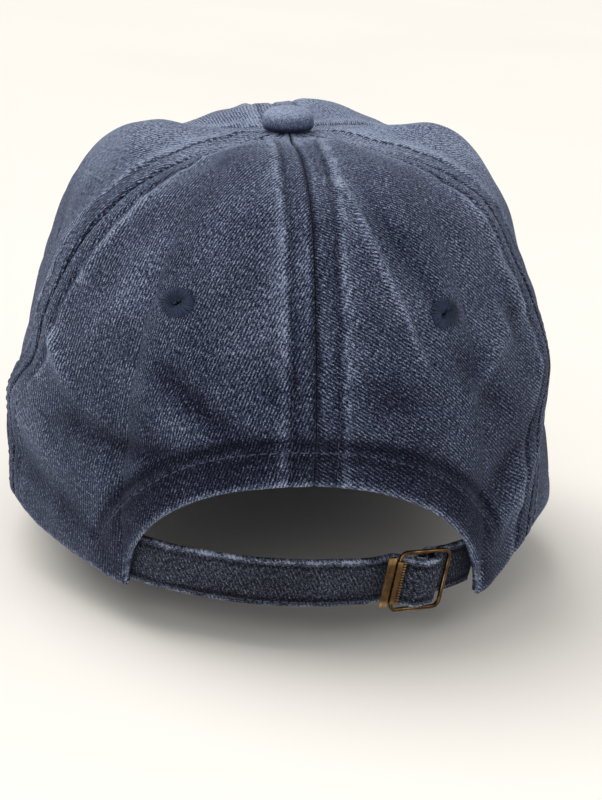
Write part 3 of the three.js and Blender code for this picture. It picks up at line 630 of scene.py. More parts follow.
def brass_material():
    """Antique brass: brown patina, rubbed bright on the edges, fine scratches."""
    g = Graph("antique_brass")
    place = g.node("TexCoord").outputs["Object"]
    cloud = g.noise(place, 420.0, 4.0, 0.65)
    grain = g.noise(g.scaled(place, (900.0, 900.0, 240.0)), 1.0, 3.0, 0.6)
    worn = g.math("MULTIPLY_ADD", g.attribute("wear"), 0.62, g.math("MULTIPLY", cloud, 0.55))
    worn = g.math("MULTIPLY_ADD", g.math("SUBTRACT", grain, 0.5), 0.35, worn)
    stops = [
        (0.2, colour(36, 26, 16)),
        (0.45, colour(88, 66, 41)),
        (0.72, colour(138, 109, 71)),
        (1.0, colour(222, 200, 160)),
    ]
    g.set(Base_Color=g.ramp(worn, stops), Metallic=0.92)
    g.set(Roughness=g.spread(cloud, 0.3, 0.7, 0.26, 0.48))
    g.bump(g.math("ADD", cloud, grain), 0.00006)
    return g.material


def steel_material():
    """Plain stamped steel with a grey rolled grain."""
    g = Graph("stamped_steel")
    place = g.node("TexCoord").outputs["Object"]
    grain = g.noise(g.scaled(place, (300.0, 1800.0, 300.0)), 1.0, 3.0, 0.6)
    g.set(Base_Color=g.ramp(grain, [(0.3, colour(120, 120, 116)), (0.75, colour(178, 178, 172))]))
    g.set(Metallic=1.0, Roughness=g.spread(grain, 0.3, 0.7, 0.32, 0.5))
    g.bump(grain, 0.00003)
    return g.material


def plain_weave_material(name, dark, light, pitch=0.5):
    """A flat woven tape or label: two sets of fine yarns crossing."""
    g = Graph(name)
    weave = g.attribute("weave", "Vector")
    parts = g.node("SeparateXYZ", {0: weave})
    turns = 2 * math.pi / pitch
    warp = g.math("SINE", g.math("MULTIPLY", parts.outputs[0], turns))
    weft = g.math("SINE", g.math("MULTIPLY", parts.outputs[1], turns))
    cross = g.math("MULTIPLY", warp, weft)
    patch = g.noise(weave, 0.35, 4.0, 0.6)
    tone = g.math("MULTIPLY_ADD", cross, 0.16, patch)
    tone = g.math("MULTIPLY_ADD", g.attribute("shade"), -0.3, tone)
    g.set(Base_Color=g.ramp(tone, [(0.3, dark), (0.75, light)]), Roughness=0.9)
    g.set(Sheen_Weight=0.15, Specular_IOR_Level=0.2)
    g.bump(cross, 0.00008)
    return g.material


def floor_material():
    g = Graph("pale_floor")
    place = g.node("TexCoord").outputs["Object"]
    tone = g.noise(place, 3.0, 2.0)
    g.set(Base_Color=g.ramp(tone, [(0.0, colour(240, 237, 231)), (1.0, colour(246, 243, 238))]))
    g.set(Roughness=0.9, Specular_IOR_Level=0.1)
    return g.material


CLOTH_STOPS = [
    (0.08, colour(14, 16, 27)),
    (0.42, colour(44, 49, 70)),
    (0.7, colour(90, 99, 125)),
    (1.0, colour(162, 175, 200)),
]
INNER_STOPS = [
    (0.06, colour(24, 27, 40)),
    (0.4, colour(48, 53, 70)),
    (0.7, colour(80, 87, 108)),
    (1.0, colour(130, 140, 160)),
]
STRAP_STOPS = [
    (0.14, colour(12, 13, 18)),
    (0.45, colour(38, 40, 50)),
    (0.72, colour(82, 87, 104)),
    (1.0, colour(150, 162, 184)),
]

MATERIALS = {
    "cap": twill_material("cap_twill", CLOTH_STOPS),
    "inner": twill_material("inner_twill", INNER_STOPS, ridge=0.3, wear=0.3, sheen=0.15),
    # The button's cloth is the cap twill made lighter (tone): partly sun fading, partly painted light from
    # above.
    "button": twill_material("button_twill", CLOTH_STOPS, ridge=0.05, fleck=0.6, bump=0.0001, tone=0.14),
    "strap": twill_material("strap_twill", STRAP_STOPS, ridge=0.12, fleck=1.0, wear=0.5, sheen=0.15),
    "thread": thread_material("navy_thread", colour(38, 43, 62), colour(72, 80, 104), 0.1),
    "satin": thread_material("eyelet_thread", colour(7, 13, 30), colour(44, 64, 98), 0.04),
    "tape": plain_weave_material("tape_weave", colour(34, 37, 50), colour(70, 76, 94), 0.7),
    "label": plain_weave_material("label_weave", colour(196, 193, 184), colour(232, 230, 222), 0.35),
    "brass": brass_material(),
    "steel": steel_material(),
}


# ---------- crown ----------
def panel_grid(start):
    """Angles and betas of a panel's grid, evenly spaced up each column."""
    if start in (0, -60):
        inside = ARCH_HALF * np.sin(np.linspace(0, math.pi / 2, 66))
        outside = np.linspace(ARCH_HALF, math.radians(60), 36)[1:]
        angles = np.concatenate([inside, outside])
        if start < 0:
            angles = -angles[::-1]
    else:
        angles = np.radians(np.linspace(start, start + 60, 97))
    angles = angles.copy()
    order = np.arange(len(angles))
    near = np.where(order == 0, 1, 0) - np.where(order == len(angles) - 1, 1, 0)
    floor = beta_at_height(angles, arch_height(angles))
    fine = floor[:, None] + (BETA_TOP - floor[:, None]) * np.linspace(0, 1, 300)[None, :] ** 0.9
    line = crown_point(angles[:, None], fine)
    steps = np.linalg.norm(np.diff(line, axis=1), axis=-1)
    length = np.concatenate([np.zeros((len(angles), 1)), np.cumsum(steps, axis=1)], axis=1)
    rows = 144
    betas = np.empty((len(angles), rows))
    from_top = np.empty((len(angles), rows))
    for i in range(len(angles)):
        wanted = np.linspace(0, length[i, -1], rows)
        betas[i] = np.interp(wanted, length[i], fine[i])
        from_top[i] = length[i, -1] - wanted
    u = np.repeat(angles[:, None], rows, axis=1)
    ring = np.maximum(np.interp(betas, BETA, RADII), TOP_HOLE) * HALF_WIDTH
    return u + near[:, None] * SEAM_GAP / ring, betas, from_top


def eyelet_place(start):
    u = math.radians(start + 30)
    beta = float(beta_at_height(u, EYELET_HEIGHT))
    crown = Crown(np.array([u]), np.array([beta]))
    return crown.outer()[0], crown.normal[0]


SLIT_LONG, SLIT_SHORT, SLIT_ANGLE = 1.35, 0.5, math.radians(35)


def slit_radius(turn):
    """The radius of an eyelet's narrow hole in a direction."""
    a = turn - SLIT_ANGLE
    return 1 / np.sqrt((np.cos(a) / SLIT_LONG) ** 2 + (np.sin(a) / SLIT_SHORT) ** 2)


def tangent_axes(normal):
    """Axes in a face seen from outside: to the right and up."""
    right = unit(np.cross(np.array([0.0, 0.0, 1.0]), normal))
    return right, np.cross(normal, right)


def make_panel(name, start, angle, seed):
    u, beta, from_top = panel_grid(start)
    crown = Crown(u, beta)
    middle = math.radians(start + 30)
    steps = np.linalg.norm(np.diff(crown.base, axis=0), axis=-1)
    across = np.concatenate([np.zeros((1, u.shape[1])), np.cumsum(steps, axis=0)])
    x = across[np.argmin(np.abs(wrap(u[:, 0] - middle)))] - across
    outer, inner = crown.outer(), crown.inner()
    centre, normal = eyelet_place(start)
    right, up = tangent_axes(normal)
    cells = (outer[:-1, :-1] + outer[1:, 1:]) / 2 - centre
    turn = np.arctan2(cells @ up, cells @ right)
    keep = np.linalg.norm(cells, axis=-1) > slit_radius(turn) + 0.35
    dimple = hump(np.linalg.norm(outer - centre, axis=-1), 0, 3.4)[..., None]
    cloth = sheet_object(
        name + "_cloth",
        outer - 0.35 * dimple * crown.normal,
        inner,
        MATERIALS["cap"],
        "crown",
        keep,
        slot="cap_cloth",
        replaces=[name],
        weave=weave_points(x, -from_top, angle, seed),
        wear=crown.wear(),
        shade=np.clip(crown.shade() + 0.4 * dimple[..., 0], 0, 1),
    )


def make_eyelet(name, start):
    """Radial satin threads on both faces round a narrow hole."""
    centre, normal = eyelet_place(start)
    right, up = tangent_axes(normal)
    rng = np.random.default_rng(abs(start) + 7)
    faces, points = [], []
    t = np.linspace(0, 1, 8)
    for side, count in ((1, 52), (-1, 40)):
        turn = np.arange(count) * 2 * math.pi / count + rng.normal(0, 0.02, count)
        inner = slit_radius(turn)
        oval = np.hypot(EYELET_TALL * np.cos(turn), EYELET_WIDE * np.sin(turn))
        outer = EYELET_WIDE * EYELET_TALL / oval + rng.normal(0, 0.16, count)
        radius = inner[:, None] + (outer - inner)[:, None] * t
        arch = -0.9 + 1.55 * np.sin(np.clip(t * 1.25 + 0.08, 0, 1) * math.pi / 2) - 0.85 * t**4
        height = side * (arch[None, :] + rng.normal(0, 0.05, count)[:, None])
        base = centre if side > 0 else centre - normal * CLOTH
        direction = right * np.cos(turn)[:, None] + up * np.sin(turn)[:, None]
        path = base + direction[:, None, :] * radius[..., None] + normal * height[..., None]
        radii = np.clip(radius * math.pi / count * 1.25, 0.12, 0.34)
        rings = tube_points(path, radii, 6, normal)
        offset = sum(len(p) for p in points)
        points.append(rings.reshape(-1, 3))
        faces += [tuple(v + offset for v in face) for face in tube_faces(count, len(t), 6)]
    made = np.concatenate(points)
    mesh_object(name + "_stitched", made, faces, MATERIALS["satin"], "crown", "eyelet_thread", [name])


def seam_rows():
    """A row of topstitching each side of every seam."""
    for seam in range(6):
        u0 = math.radians(seam * 60)
        foot = ARCH_TOP + 2 if seam == 0 else float(rim_height(u0)) + 2
        beta = np.linspace(float(beta_at_height(u0, foot)), BETA_TOP - math.radians(6.5), 160)
        _, metric = crown_frame(np.full(160, u0), beta)
        squeeze = np.minimum(1, 0.4 * metric * math.pi / 3 / SEAM_BAND)
        for side, label in ((-1, "a"), (1, "b")):
            crown = Crown(u0 + side * SEAM_BAND * squeeze / metric, beta)
            stitch_row(
                f"seam_stitches_{seam}{label}", crown.outer(), crown.normal, MATERIALS["thread"], "crown"
            )


def hem_row():
    """Topstitching along the folded hem of the rear opening, and above the rim elsewhere."""
    inset = HEM - 1.6
    reach = ARCH_HALF + inset / HALF_LENGTH
    turn = np.radians(np.linspace(-88, 88, 220))
    u = reach * np.sin(turn)
    foot = rim_height(u)
    z = foot + (ARCH_TOP + inset - foot) * np.cos(turn)
    crown = Crown(u, beta_at_height(u, z))
    stitch_row("hem_stitches", crown.outer(), crown.normal, MATERIALS["thread"], "crown")
    u = np.linspace(ARCH_HALF + 0.18, 2 * math.pi - ARCH_HALF - 0.18, 500)
    crown = Crown(u, beta_at_height(u, rim_height(u) + RIM_ROW))
    stitch_row("rim_stitches", crown.outer(), crown.normal, MATERIALS["thread"], "crown")


def make_crown():
    for index, (name, start, angle) in enumerate(PANELS):
        make_panel(name, start, angle, 17 * index)
        make_eyelet(name.replace("panel", "eyelet"), start)
    seam_rows()
    hem_row()


# ---------- inside the crown ----------
def crown_layer(name, u, beta, top, thickness, material, slot, angle):
    """A cloth layer sewn under the crown, on a grid of angles and betas."""
    crown = Crown(u, beta)
    x = (u - u.mean()) * crown.metric
    y = crown.base[..., 2]
    outer, inner = crown.layer(top), crown.layer(top - thickness)
    plain = np.zeros(u.shape)
    cloth = sheet_object(
        name + "_cloth", outer, inner, material, "crown", slot=slot, replaces=[name],
        weave=weave_points(x, y, angle, 5), wear=plain, shade=plain,
    )
    return crown, inner


SEAM_TAPES = {
    "seam_tape_back": 0, "seam_tape_rear_left": 60, "seam_tape_fore_left": 120,
    "seam_tape_front": 180, "seam_tape_fore_right": -120, "seam_tape_rear_right": -60,
}


def make_tapes():
    """Woven tape over each seam, a stitch row down both its edges."""
    for name, at in SEAM_TAPES.items():
        u0 = math.radians(at)
        foot = ARCH_TOP + FACING_WIDTH + 1 if at == 0 else float(rim_height(u0)) + 0.5
        beta = np.linspace(float(beta_at_height(u0, foot)), BETA_TOP - math.radians(7), 110)
        _, metric = crown_frame(np.full(beta.shape, u0), beta)
        half = np.minimum(7.0, metric * 0.4) / metric
        share = np.linspace(-1, 1, 15)
        u = u0 + half[None, :] * share[:, None]
        grid = np.repeat(beta[None, :], len(share), axis=0)
        crown, inner = crown_layer(name, u, grid, TAPE_OUT, TAPE, MATERIALS["tape"], "inner_cloth", angle=0)
        for row, label in ((2, "a"), (-3, "b")):
            stitch_row(
                f"{name}_stitches_{label}", inner[row], -crown.normal[row], MATERIALS["thread"], "crown"
            )


def make_facing():
    """The folded hem's inner edge round the rear opening."""
    turn = np.radians(np.linspace(-90, 90, 181))[:, None]
    share = np.linspace(0.05, 1, 12)[None, :]
    u = (ARCH_HALF + FACING_WIDTH / HALF_LENGTH * share) * np.sin(turn)
    foot = np.minimum(rim_height(u), arch_height(u)) + 0.3
    rise = ARCH_TOP - float(rim_height(ARCH_HALF)) + FACING_WIDTH * share
    z = np.minimum(foot + rise * np.cos(turn), ARCH_TOP + FACING_WIDTH * share)
    crown, inner = crown_layer(
        "arch_facing", u, beta_at_height(u, z), TAPE_OUT, TAPE, MATERIALS["inner"], "inner_cloth", angle=70
    )
    stitch_row("facing_stitches", inner[4:-4, 9], -crown.normal[4:-4, 9], MATERIALS["thread"], "crown")


def make_sweatband():
    u = np.linspace(BAND_END, 2 * math.pi - BAND_END, 330)[:, None] + np.zeros((1, 26))
    z = rim_height(u) + 0.4 + BAND_HEIGHT * np.linspace(0, 1, 26)[None, :]
    crown, inner = crown_layer(
        "sweatband", u, beta_at_height(u, z), BAND_OUT, BAND_CLOTH,
        MATERIALS["inner"], "inner_cloth", angle=35
    )
    for row, label in ((2, "low"), (4, "mid"), (24, "high")):
        stitch_row(
            f"band_stitches_{label}", inner[:, row], -crown.normal[:, row], MATERIALS["thread"], "crown"
        )


def make_label():
    u = np.radians(np.linspace(86, 104, 40))[:, None] + np.zeros((1, 34))
    z = np.zeros((40, 1)) + np.linspace(44, 66, 34)[None, :]
    crown, inner = crown_layer(
        "care_label", u, beta_at_height(u, z), TAPE_OUT, 0.5, MATERIALS["label"], "label", angle=0
    )
    stitch_row("label_stitches", inner[:, -3], -crown.normal[:, -3], MATERIALS["thread"], "crown", 2.2, 0.16)


# ---------- button ----------
def make_button():
    """A cloth-covered button, its cloth gathered under the edge."""
    apex = np.array([TOP_LEAN, TOP_SHIFT, CROWN_HEIGHT + BUTTON_RISE - TOP_TILT * TOP_LEAN / HALF_WIDTH])
    tilt = Matrix.Rotation(math.atan(TOP_TILT / HALF_WIDTH), 3, "Y")
    segments = 96
    top = BUTTON_HEIGHT
    lift = [-0.35, -0.2, 0.15, 0.7, 1.4, 2.2, 3.0]
    wide = [5.6, 6.6, 7.3, 7.75, 7.97, 8.02, 7.9]
    dome = np.linspace(0, math.pi / 2, 16)[1:]
    outline = list(zip(wide, lift))
    outline += [(7.9 * math.cos(a) ** 0.82, 3.0 + (top - 3.0) * math.sin(a)) for a in dome[:-1]]
    inner = [(7.1 * math.cos(a) ** 0.7, 0.5 + (top - 1.6) * math.sin(a)) for a in dome[::-1][1:]]
    inner += [(7.1, 0.5), (5.6, 0.25)]
    turn = np.arange(segments) * 2 * math.pi / segments
    rings = []
    for index, (r, z) in enumerate(outline):
        gather = 0.06 * max(0.0, 1 - z / 3.2) * np.sin(turn * 17 + 0.8 * np.sin(3 * turn))
        gathered = r + gather
        ring = [gathered * np.cos(turn), gathered * np.sin(turn), np.full(segments, z)]
        rings.append(np.stack(ring, -1))
    for r, z in inner:
        rings.append(np.stack([r * np.cos(turn), r * np.sin(turn), np.full(segments, z)], -1))
    points = np.array(rings)
    flat = points.reshape(-1, 3)
    faces = []
    last = len(outline) - 1
    for i in range(len(rings)):
        if i == last:
            continue
        ahead = (i + 1) % len(rings)
        for j in range(segments):
            k = (j + 1) % segments
            faces.append((i * segments + j, i * segments + k, ahead * segments + k, ahead * segments + j))
    crest, hollow = len(flat), len(flat) + 1
    for j in range(segments):
        k = (j + 1) % segments
        faces.append((last * segments + j, last * segments + k, crest))
        faces.append(((last + 1) * segments + k, (last + 1) * segments + j, hollow))
    flat = np.concatenate([flat, [[0, 0, top]], [[0, 0, top - 1.1]]])
    profile = np.array(outline)
    steps = np.linalg.norm(np.diff(profile, axis=0), axis=-1)
    from_top = profile[-1, 0] + np.append(np.cumsum(steps[::-1])[::-1], 0)
    spread = np.append(from_top, [r for r, _ in inner])[:, None]
    across = np.append((spread * np.cos(turn)).ravel(), [0, 0])
    along = np.append((spread * np.sin(turn)).ravel(), [0, 0])
    weave = weave_points(across, along, 40, 90)
    wear = 0.45 * ease(flat[:, 2], 2.0, 5.5) + 0.1
    shade = 0.9 * (1 - ease(flat[:, 2], 0.2, 2.2))
    placed = flat @ np.array(tilt).T + apex
    mesh_object(
        "button_cloth", placed, faces, MATERIALS["button"], "crown", "cap_cloth", ["button_cover"],
        weave=weave, wear=wear, shade=shade,
    )


# ---------- visor ----------
VISOR_ROWS = [0.9, 0.78, 0.66, 0.54, 0.42, 0.3, 0.18]


def visor_point(s, t, depth):
    root = crown_point(math.pi + s * VISOR_HALF_ANGLE, np.zeros_like(s))
    normal, _ = crown_frame(math.pi + s * VISOR_HALF_ANGLE, np.zeros_like(s))
    root = root - 1.4 * normal
    corner = math.pi - VISOR_HALF_ANGLE
    end = crown_point(corner, 0.0) - 1.4 * crown_frame(np.array(corner), np.array(0.0))[0]
    beta = s * math.pi / 2
    edge_x = -end[0] * np.sin(beta) * (1 + 0.15 * np.sin(2 * np.abs(beta)))
    edge_y = end[1] - (HALF_LENGTH + VISOR_REACH + end[1]) * np.cos(beta).clip(0) ** 0.85
    x = root[..., 0] + (edge_x - root[..., 0]) * t
    y = root[..., 1] + (edge_y - root[..., 1]) * t

    def camber(px, py):
        return FRONT_RISE - px * px / (2 * VISOR_CAMBER) + math.tan(VISOR_TILT) * (py + HALF_LENGTH)

    fit = (rim_height(math.pi + s * VISOR_HALF_ANGLE) - camber(root[..., 0], root[..., 1])) * (1 - t) ** 2
    return np.stack([x, y, camber(x, y) + fit - LAYER_GAP - depth], -1)


def visor_grid():
    s = np.sin(np.linspace(-1, 1, 260) * math.pi / 2 * 0.93)
    s = s / s[-1] * VISOR_TIP
    t = 1 - (1 - np.linspace(0, 1, 84)) ** 1.5
    return np.broadcast_arrays(s[:, None], t[None, :])


def visor_dents(s, t):
    """Rows of stitching press the cloth on to the board."""
    span = np.linalg.norm(visor_point(s, np.ones_like(t), 0) - visor_point(s, np.zeros_like(t), 0), axis=-1)
    dents = np.zeros(s.shape)
    for row in VISOR_ROWS:
        dents += hump((t - row) * span, 0, 0.8)
    return np.minimum(dents, 1)


def make_visor():
    s, t = visor_grid()
    dents = visor_dents(s, t)
    near = ease(np.maximum(t, np.abs(s) * 0.98), 0.95, 1)
    root = 1 - ease(t, 0, VISOR_FOLD)
    closed = np.maximum(near, root)
    under = VISOR_CLOTH + LAYER_GAP + BOARD + LAYER_GAP
    flat = visor_point(s, t, 0)
    wear = np.clip(0.75 * hump((1 - t) * 60, 0, 1.8) + 0.1 * (1 - dents) * wavy(flat, 20, 61).clip(0), 0, 1)
    swell = 0.12 * wavy(flat, 18, 62) * ease(1 - t, 0.0, 0.1)
    for name, top, bottom, pinch, sign in (
        ("visor_top_cloth", 0.0, VISOR_CLOTH, 0.9, 1),
        ("visor_under_cloth", under, under + VISOR_CLOTH, -0.9, -1),
    ):
        upper = visor_point(s, t, top + pinch * closed)
        lower = visor_point(s, t, bottom + pinch * closed)
        shown = upper if sign > 0 else lower
        shown[..., 2] += sign * (swell.clip(-0.1) + 0.1 - 0.32 * dents)
        angle = 48 if sign > 0 else -48
        cloth = sheet_object(
            name + "_twill", upper, lower, MATERIALS["cap"], "crown", slot="cap_cloth", replaces=[name],
            weave=weave_points(flat[..., 0], flat[..., 1], angle, 30 + sign), wear=wear, shade=0.5 * dents,
        )
        make_visor_rows(name, sign, top if sign > 0 else bottom)
    make_board(s, t)


def make_board(s, t):
    """The plastic sheet, clear of the folded cloth edges all round."""
    side, reach = s * (1 - BOARD_INSET / BOARD_HALF), VISOR_FOLD + t * (BOARD_REACH - VISOR_FOLD)
    upper = visor_point(side, reach, VISOR_CLOTH + LAYER_GAP)
    lower = visor_point(side, reach, VISOR_CLOTH + LAYER_GAP + BOARD)
    plain = np.zeros(s.shape)
    sheet_object(
        "visor_board_sheet", upper, lower, MATERIALS["label"], "crown",
        slot="board", replaces=["visor_board"],
        weave=weave_points(upper[..., 0], upper[..., 1], 0, 33), wear=plain, shade=plain,
    )


def make_visor_rows(name, sign, depth):
    reach = np.linspace(-0.955, 0.955, 400)
    up = np.tile([0.0, 0.0, float(sign)], (len(reach), 1))
    for index, row in enumerate(VISOR_ROWS):
        line = visor_point(reach, np.full(reach.shape, row), depth)
        line[:, 2] -= sign * 0.2
        stitch_row(f"{name}_stitches_{index}", line, up, MATERIALS["thread"], "crown")


# ---------- strap ----------
def smooth_route(points, samples=400):
    """A Catmull-Rom curve through points, as dense arrays."""
    p = np.array([points[0], *points, points[-1]], float)
    t = np.linspace(0, len(points) - 1 - 1e-9, samples)
    i = t.astype(int)
    f = (t - i)[:, None]
    a, b, c, d = p[i], p[i + 1], p[i + 2], p[i + 3]
    return 0.5 * (2 * b + (c - a) * f + (2 * a - 5 * b + 4 * c - d) * f**2 + (3 * b - a - 3 * c + d) * f**3)


ROUTE = smooth_route(STRAP_ROUTE)


def strap_rise(q):
    return np.interp(q, ROUTE[:, 0], ROUTE[:, 1], left=0, right=0)


def strap_point(q, zeta, rho):
    s = BUCKLE_AT + q - zeta * math.tan(BUCKLE_TURN)
    radius = STRAP_RADIUS + rho * math.cos(STRAP_LEAN) + zeta * math.sin(STRAP_LEAN)
    return np.stack([
        radius * np.sin(s / STRAP_RADIUS),
        STRAP_CENTRE_Y + radius * np.cos(s / STRAP_RADIUS),
        STRAP_Z + STRAP_SLOPE * s + zeta * math.cos(STRAP_LEAN) - rho * math.sin(STRAP_LEAN),
    ], -1)


def strap_face(q, zeta, offset):
    """A point on the strap at a distance from its middle layer."""
    slope = (strap_rise(q + 0.05) - strap_rise(q - 0.05)) / 0.1
    length = np.hypot(1, slope)
    return strap_point(q - offset * slope / length, zeta, strap_rise(q) + offset / length)


STRAP_ROW = 5.9  # stitching, from the strap's middle


def make_strap():
    """One folded strip from the crown's corner, over the clamp and under the buckle to its tip."""
    ahead = STRAP_END - BUCKLE_AT
    loop = np.linspace(-14, 14, 90)
    stations = np.concatenate([np.linspace(-TAIL_END, -14, 20)[:-1], loop, np.linspace(14, ahead, 90)[1:]])
    turn = np.arange(56) * 2 * math.pi / 56
    zeta = STRAP_HEIGHT / 2 * np.sign(np.sin(turn)) * np.abs(np.sin(turn)) ** 0.85
    half = STRAP_CLOTH / 2
    swell = 1 - 0.22 * hump(np.abs(zeta), STRAP_ROW, 0.5) + 0.1 * hump(np.abs(zeta), 6.9, 0.7)
    face = np.sign(np.cos(turn)) * np.abs(np.cos(turn)) ** 0.35 * half * swell
    q = stations[:, None] + np.zeros((1, len(turn)))
    wide = np.broadcast_to(zeta, q.shape)
    shaped = strap_face(q, wide, np.broadcast_to(face, q.shape))
    ripple = 0.12 * wavy(shaped, 16, 71) * ease(np.abs(q), 12, 18)
    points = strap_face(q, wide, face + ripple)
    band = hump(wide, 5.0 + 1.6, 1.3)
    low = 0.6 * hump(wide, -7.2, 0.8)
    wear = np.clip((0.9 * band + low) * (0.75 + 0.3 * wavy(shaped, 7, 72)), 0, 1)
    shade = 0.55 * hump(np.abs(wide), STRAP_ROW - 0.8, 0.7) + 0.35 * hump(wide, 7.5, 0.5)
    made = mesh_object(
        "strap_twill", points, tube_faces(1, len(stations), len(turn)), MATERIALS["strap"], None,
        "strap_cloth", ["strap", "strap_tail"],
        weave=weave_points(q, wide, 60, 40).reshape(-1, 3), wear=wear.ravel(), shade=shade.ravel(),
    )
    bend(made)
    q = np.linspace(-TAIL_END + 1, ahead - 1, 400)
    for index, height in enumerate((-STRAP_ROW, STRAP_ROW)):
        line = strap_face(q, np.full(q.shape, height), half * 0.84)
        out = unit(strap_face(q, np.full(q.shape, height), half + 1) - line)
        bend(stitch_row(f"strap_stitches_{index}", line, out, MATERIALS["thread"], None, 2.4))


def bend(piece):
    """Bakes the piece's placement into its mesh."""
    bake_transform(piece)


# ---------- buckle ----------
def buckle_axes():
    turn = (
        Matrix.Rotation(BUCKLE_ANGLE, 3, "Z")
        @ Matrix.Rotation(-STRAP_LEAN, 3, "X")
        @ Matrix.Rotation(-BUCKLE_TURN, 3, "Y")
    )
    return np.array(turn), strap_point(np.array(0.0), 0.0, BUCKLE_OFF)


def in_buckle(points):
    """From the buckle's own frame: x along the strap, y out of the head, z up."""
    turn, place = buckle_axes()
    return np.asarray(points) @ turn.T + place


def rounded_loop(half_x, half_z, corner, per_side=22, per_corner=12):
    """Points round a rectangle with round corners, in the x-z plane."""
    points = []
    for sx, sz, first in ((1, 1, 0), (-1, 1, 90), (-1, -1, 180), (1, -1, 270)):
        turn = np.radians(np.linspace(first, first + 90, per_corner))
        centre = np.array([sx * (half_x - corner), 0, sz * (half_z - corner)])
        arc = centre + corner * np.stack([np.cos(turn), np.zeros_like(turn), np.sin(turn)], -1)
        points.append(arc)
    loop = []
    for index, arc in enumerate(points):
        follow = points[(index + 1) % 4][0]
        loop += [*arc, *(arc[-1] + (follow - arc[-1]) * f for f in np.linspace(0, 1, per_side)[1:-1, None])]
    return np.array(loop)


def make_frame():
    """The rectangular wire, flattened on its faces, and the post that holds the tab."""
    loop = rounded_loop(FRAME_HALF_X + WIRE_OUT, FRAME_HALF_Z + WIRE_OUT, FRAME_CORNER)
    count, sides = len(loop), 24
    tangent = unit(np.roll(loop, -1, 0) - np.roll(loop, 1, 0))
    out = unit(np.cross(tangent, [0.0, 1.0, 0.0]))
    out *= np.sign((out * loop).sum(-1, keepdims=True))
    turn = np.arange(sides) * 2 * math.pi / sides
    across = np.sign(np.cos(turn)) * np.abs(np.cos(turn)) ** 0.6
    over = np.sign(np.sin(turn)) * np.abs(np.sin(turn)) ** 0.6
    section = out[:, None] * across[:, None] + np.array([0, 1.0, 0]) * over[:, None]
    hammered = WIRE_SEEN * (1 + 0.02 * wavy(loop, 6, 81))
    ring = loop[:, None] + hammered[:, None, None] * section
    edges = np.where(np.sin(turn) > 0, np.abs(np.sin(2 * turn)) ** 1.5, 0.1)
    rubbed = 0.12 + 0.8 * edges[None, :] * (0.75 + 0.35 * wavy(loop, 5, 82))[:, None]
    z = np.linspace(-FRAME_HALF_Z, FRAME_HALF_Z, 60)
    drop = POST_DROP * ease(FRAME_HALF_Z - np.abs(z), 0.2, 2.6)
    post = tube_points(np.stack([0 * z, -drop, z], -1), WIRE * 0.95, 14, np.array([1.0, 0, 0]))
    first = tube_faces(1, count, sides, closed=True)
    second = [tuple(v + count * sides for v in face) for face in tube_faces(1, len(z), 14)]
    points = np.concatenate([ring.reshape(-1, 3), post.reshape(-1, 3)])
    wear = np.concatenate([rubbed.ravel(), np.full(len(z) * 14, 0.3)])
    mesh_object(
        "buckle_frame_wire", in_buckle(points), first + second, MATERIALS["brass"], "buckle",
        "brass", ["buckle_frame"], wear=wear.clip(0, 1),
    )


def extruded(outline, half, bevel=0.18):
    """A closed outline in x-y drawn out along z, with rounded ends."""
    outline = np.asarray(outline, float)
    count = len(outline)
    tangent = np.roll(outline, -1, 0) - np.roll(outline, 1, 0)
    inward = unit(np.stack([-tangent[:, 1], tangent[:, 0]], -1))
    area = np.sum(outline[:, 0] * np.roll(outline[:, 1], -1) - outline[:, 1] * np.roll(outline[:, 0], -1))
    inward *= np.sign(area)
    angles = (0, 0.45, 0.9, math.pi / 2)
    rounding = [(bevel * (1 - math.sin(a)), bevel * (1 - math.cos(a))) for a in angles]
    stations = [(-half + rise, inset) for rise, inset in rounding[::-1]]
    stations += [(z, 0) for z in np.linspace(-half + bevel, half - bevel, 30)[1:-1]]
    stations += [(half - rise, inset) for rise, inset in rounding]
    rings = [np.column_stack([outline + inward * inset, np.full(count, z)]) for z, inset in stations]
    return np.concatenate(rings), tube_faces(1, len(stations), count)


def arc(radius, first, last, count, centre=(0.0, 0.0)):
    turn = np.radians(np.linspace(first, last, count))
    return np.stack([centre[0] + radius * np.cos(turn), centre[1] + radius * np.sin(turn)], -1)


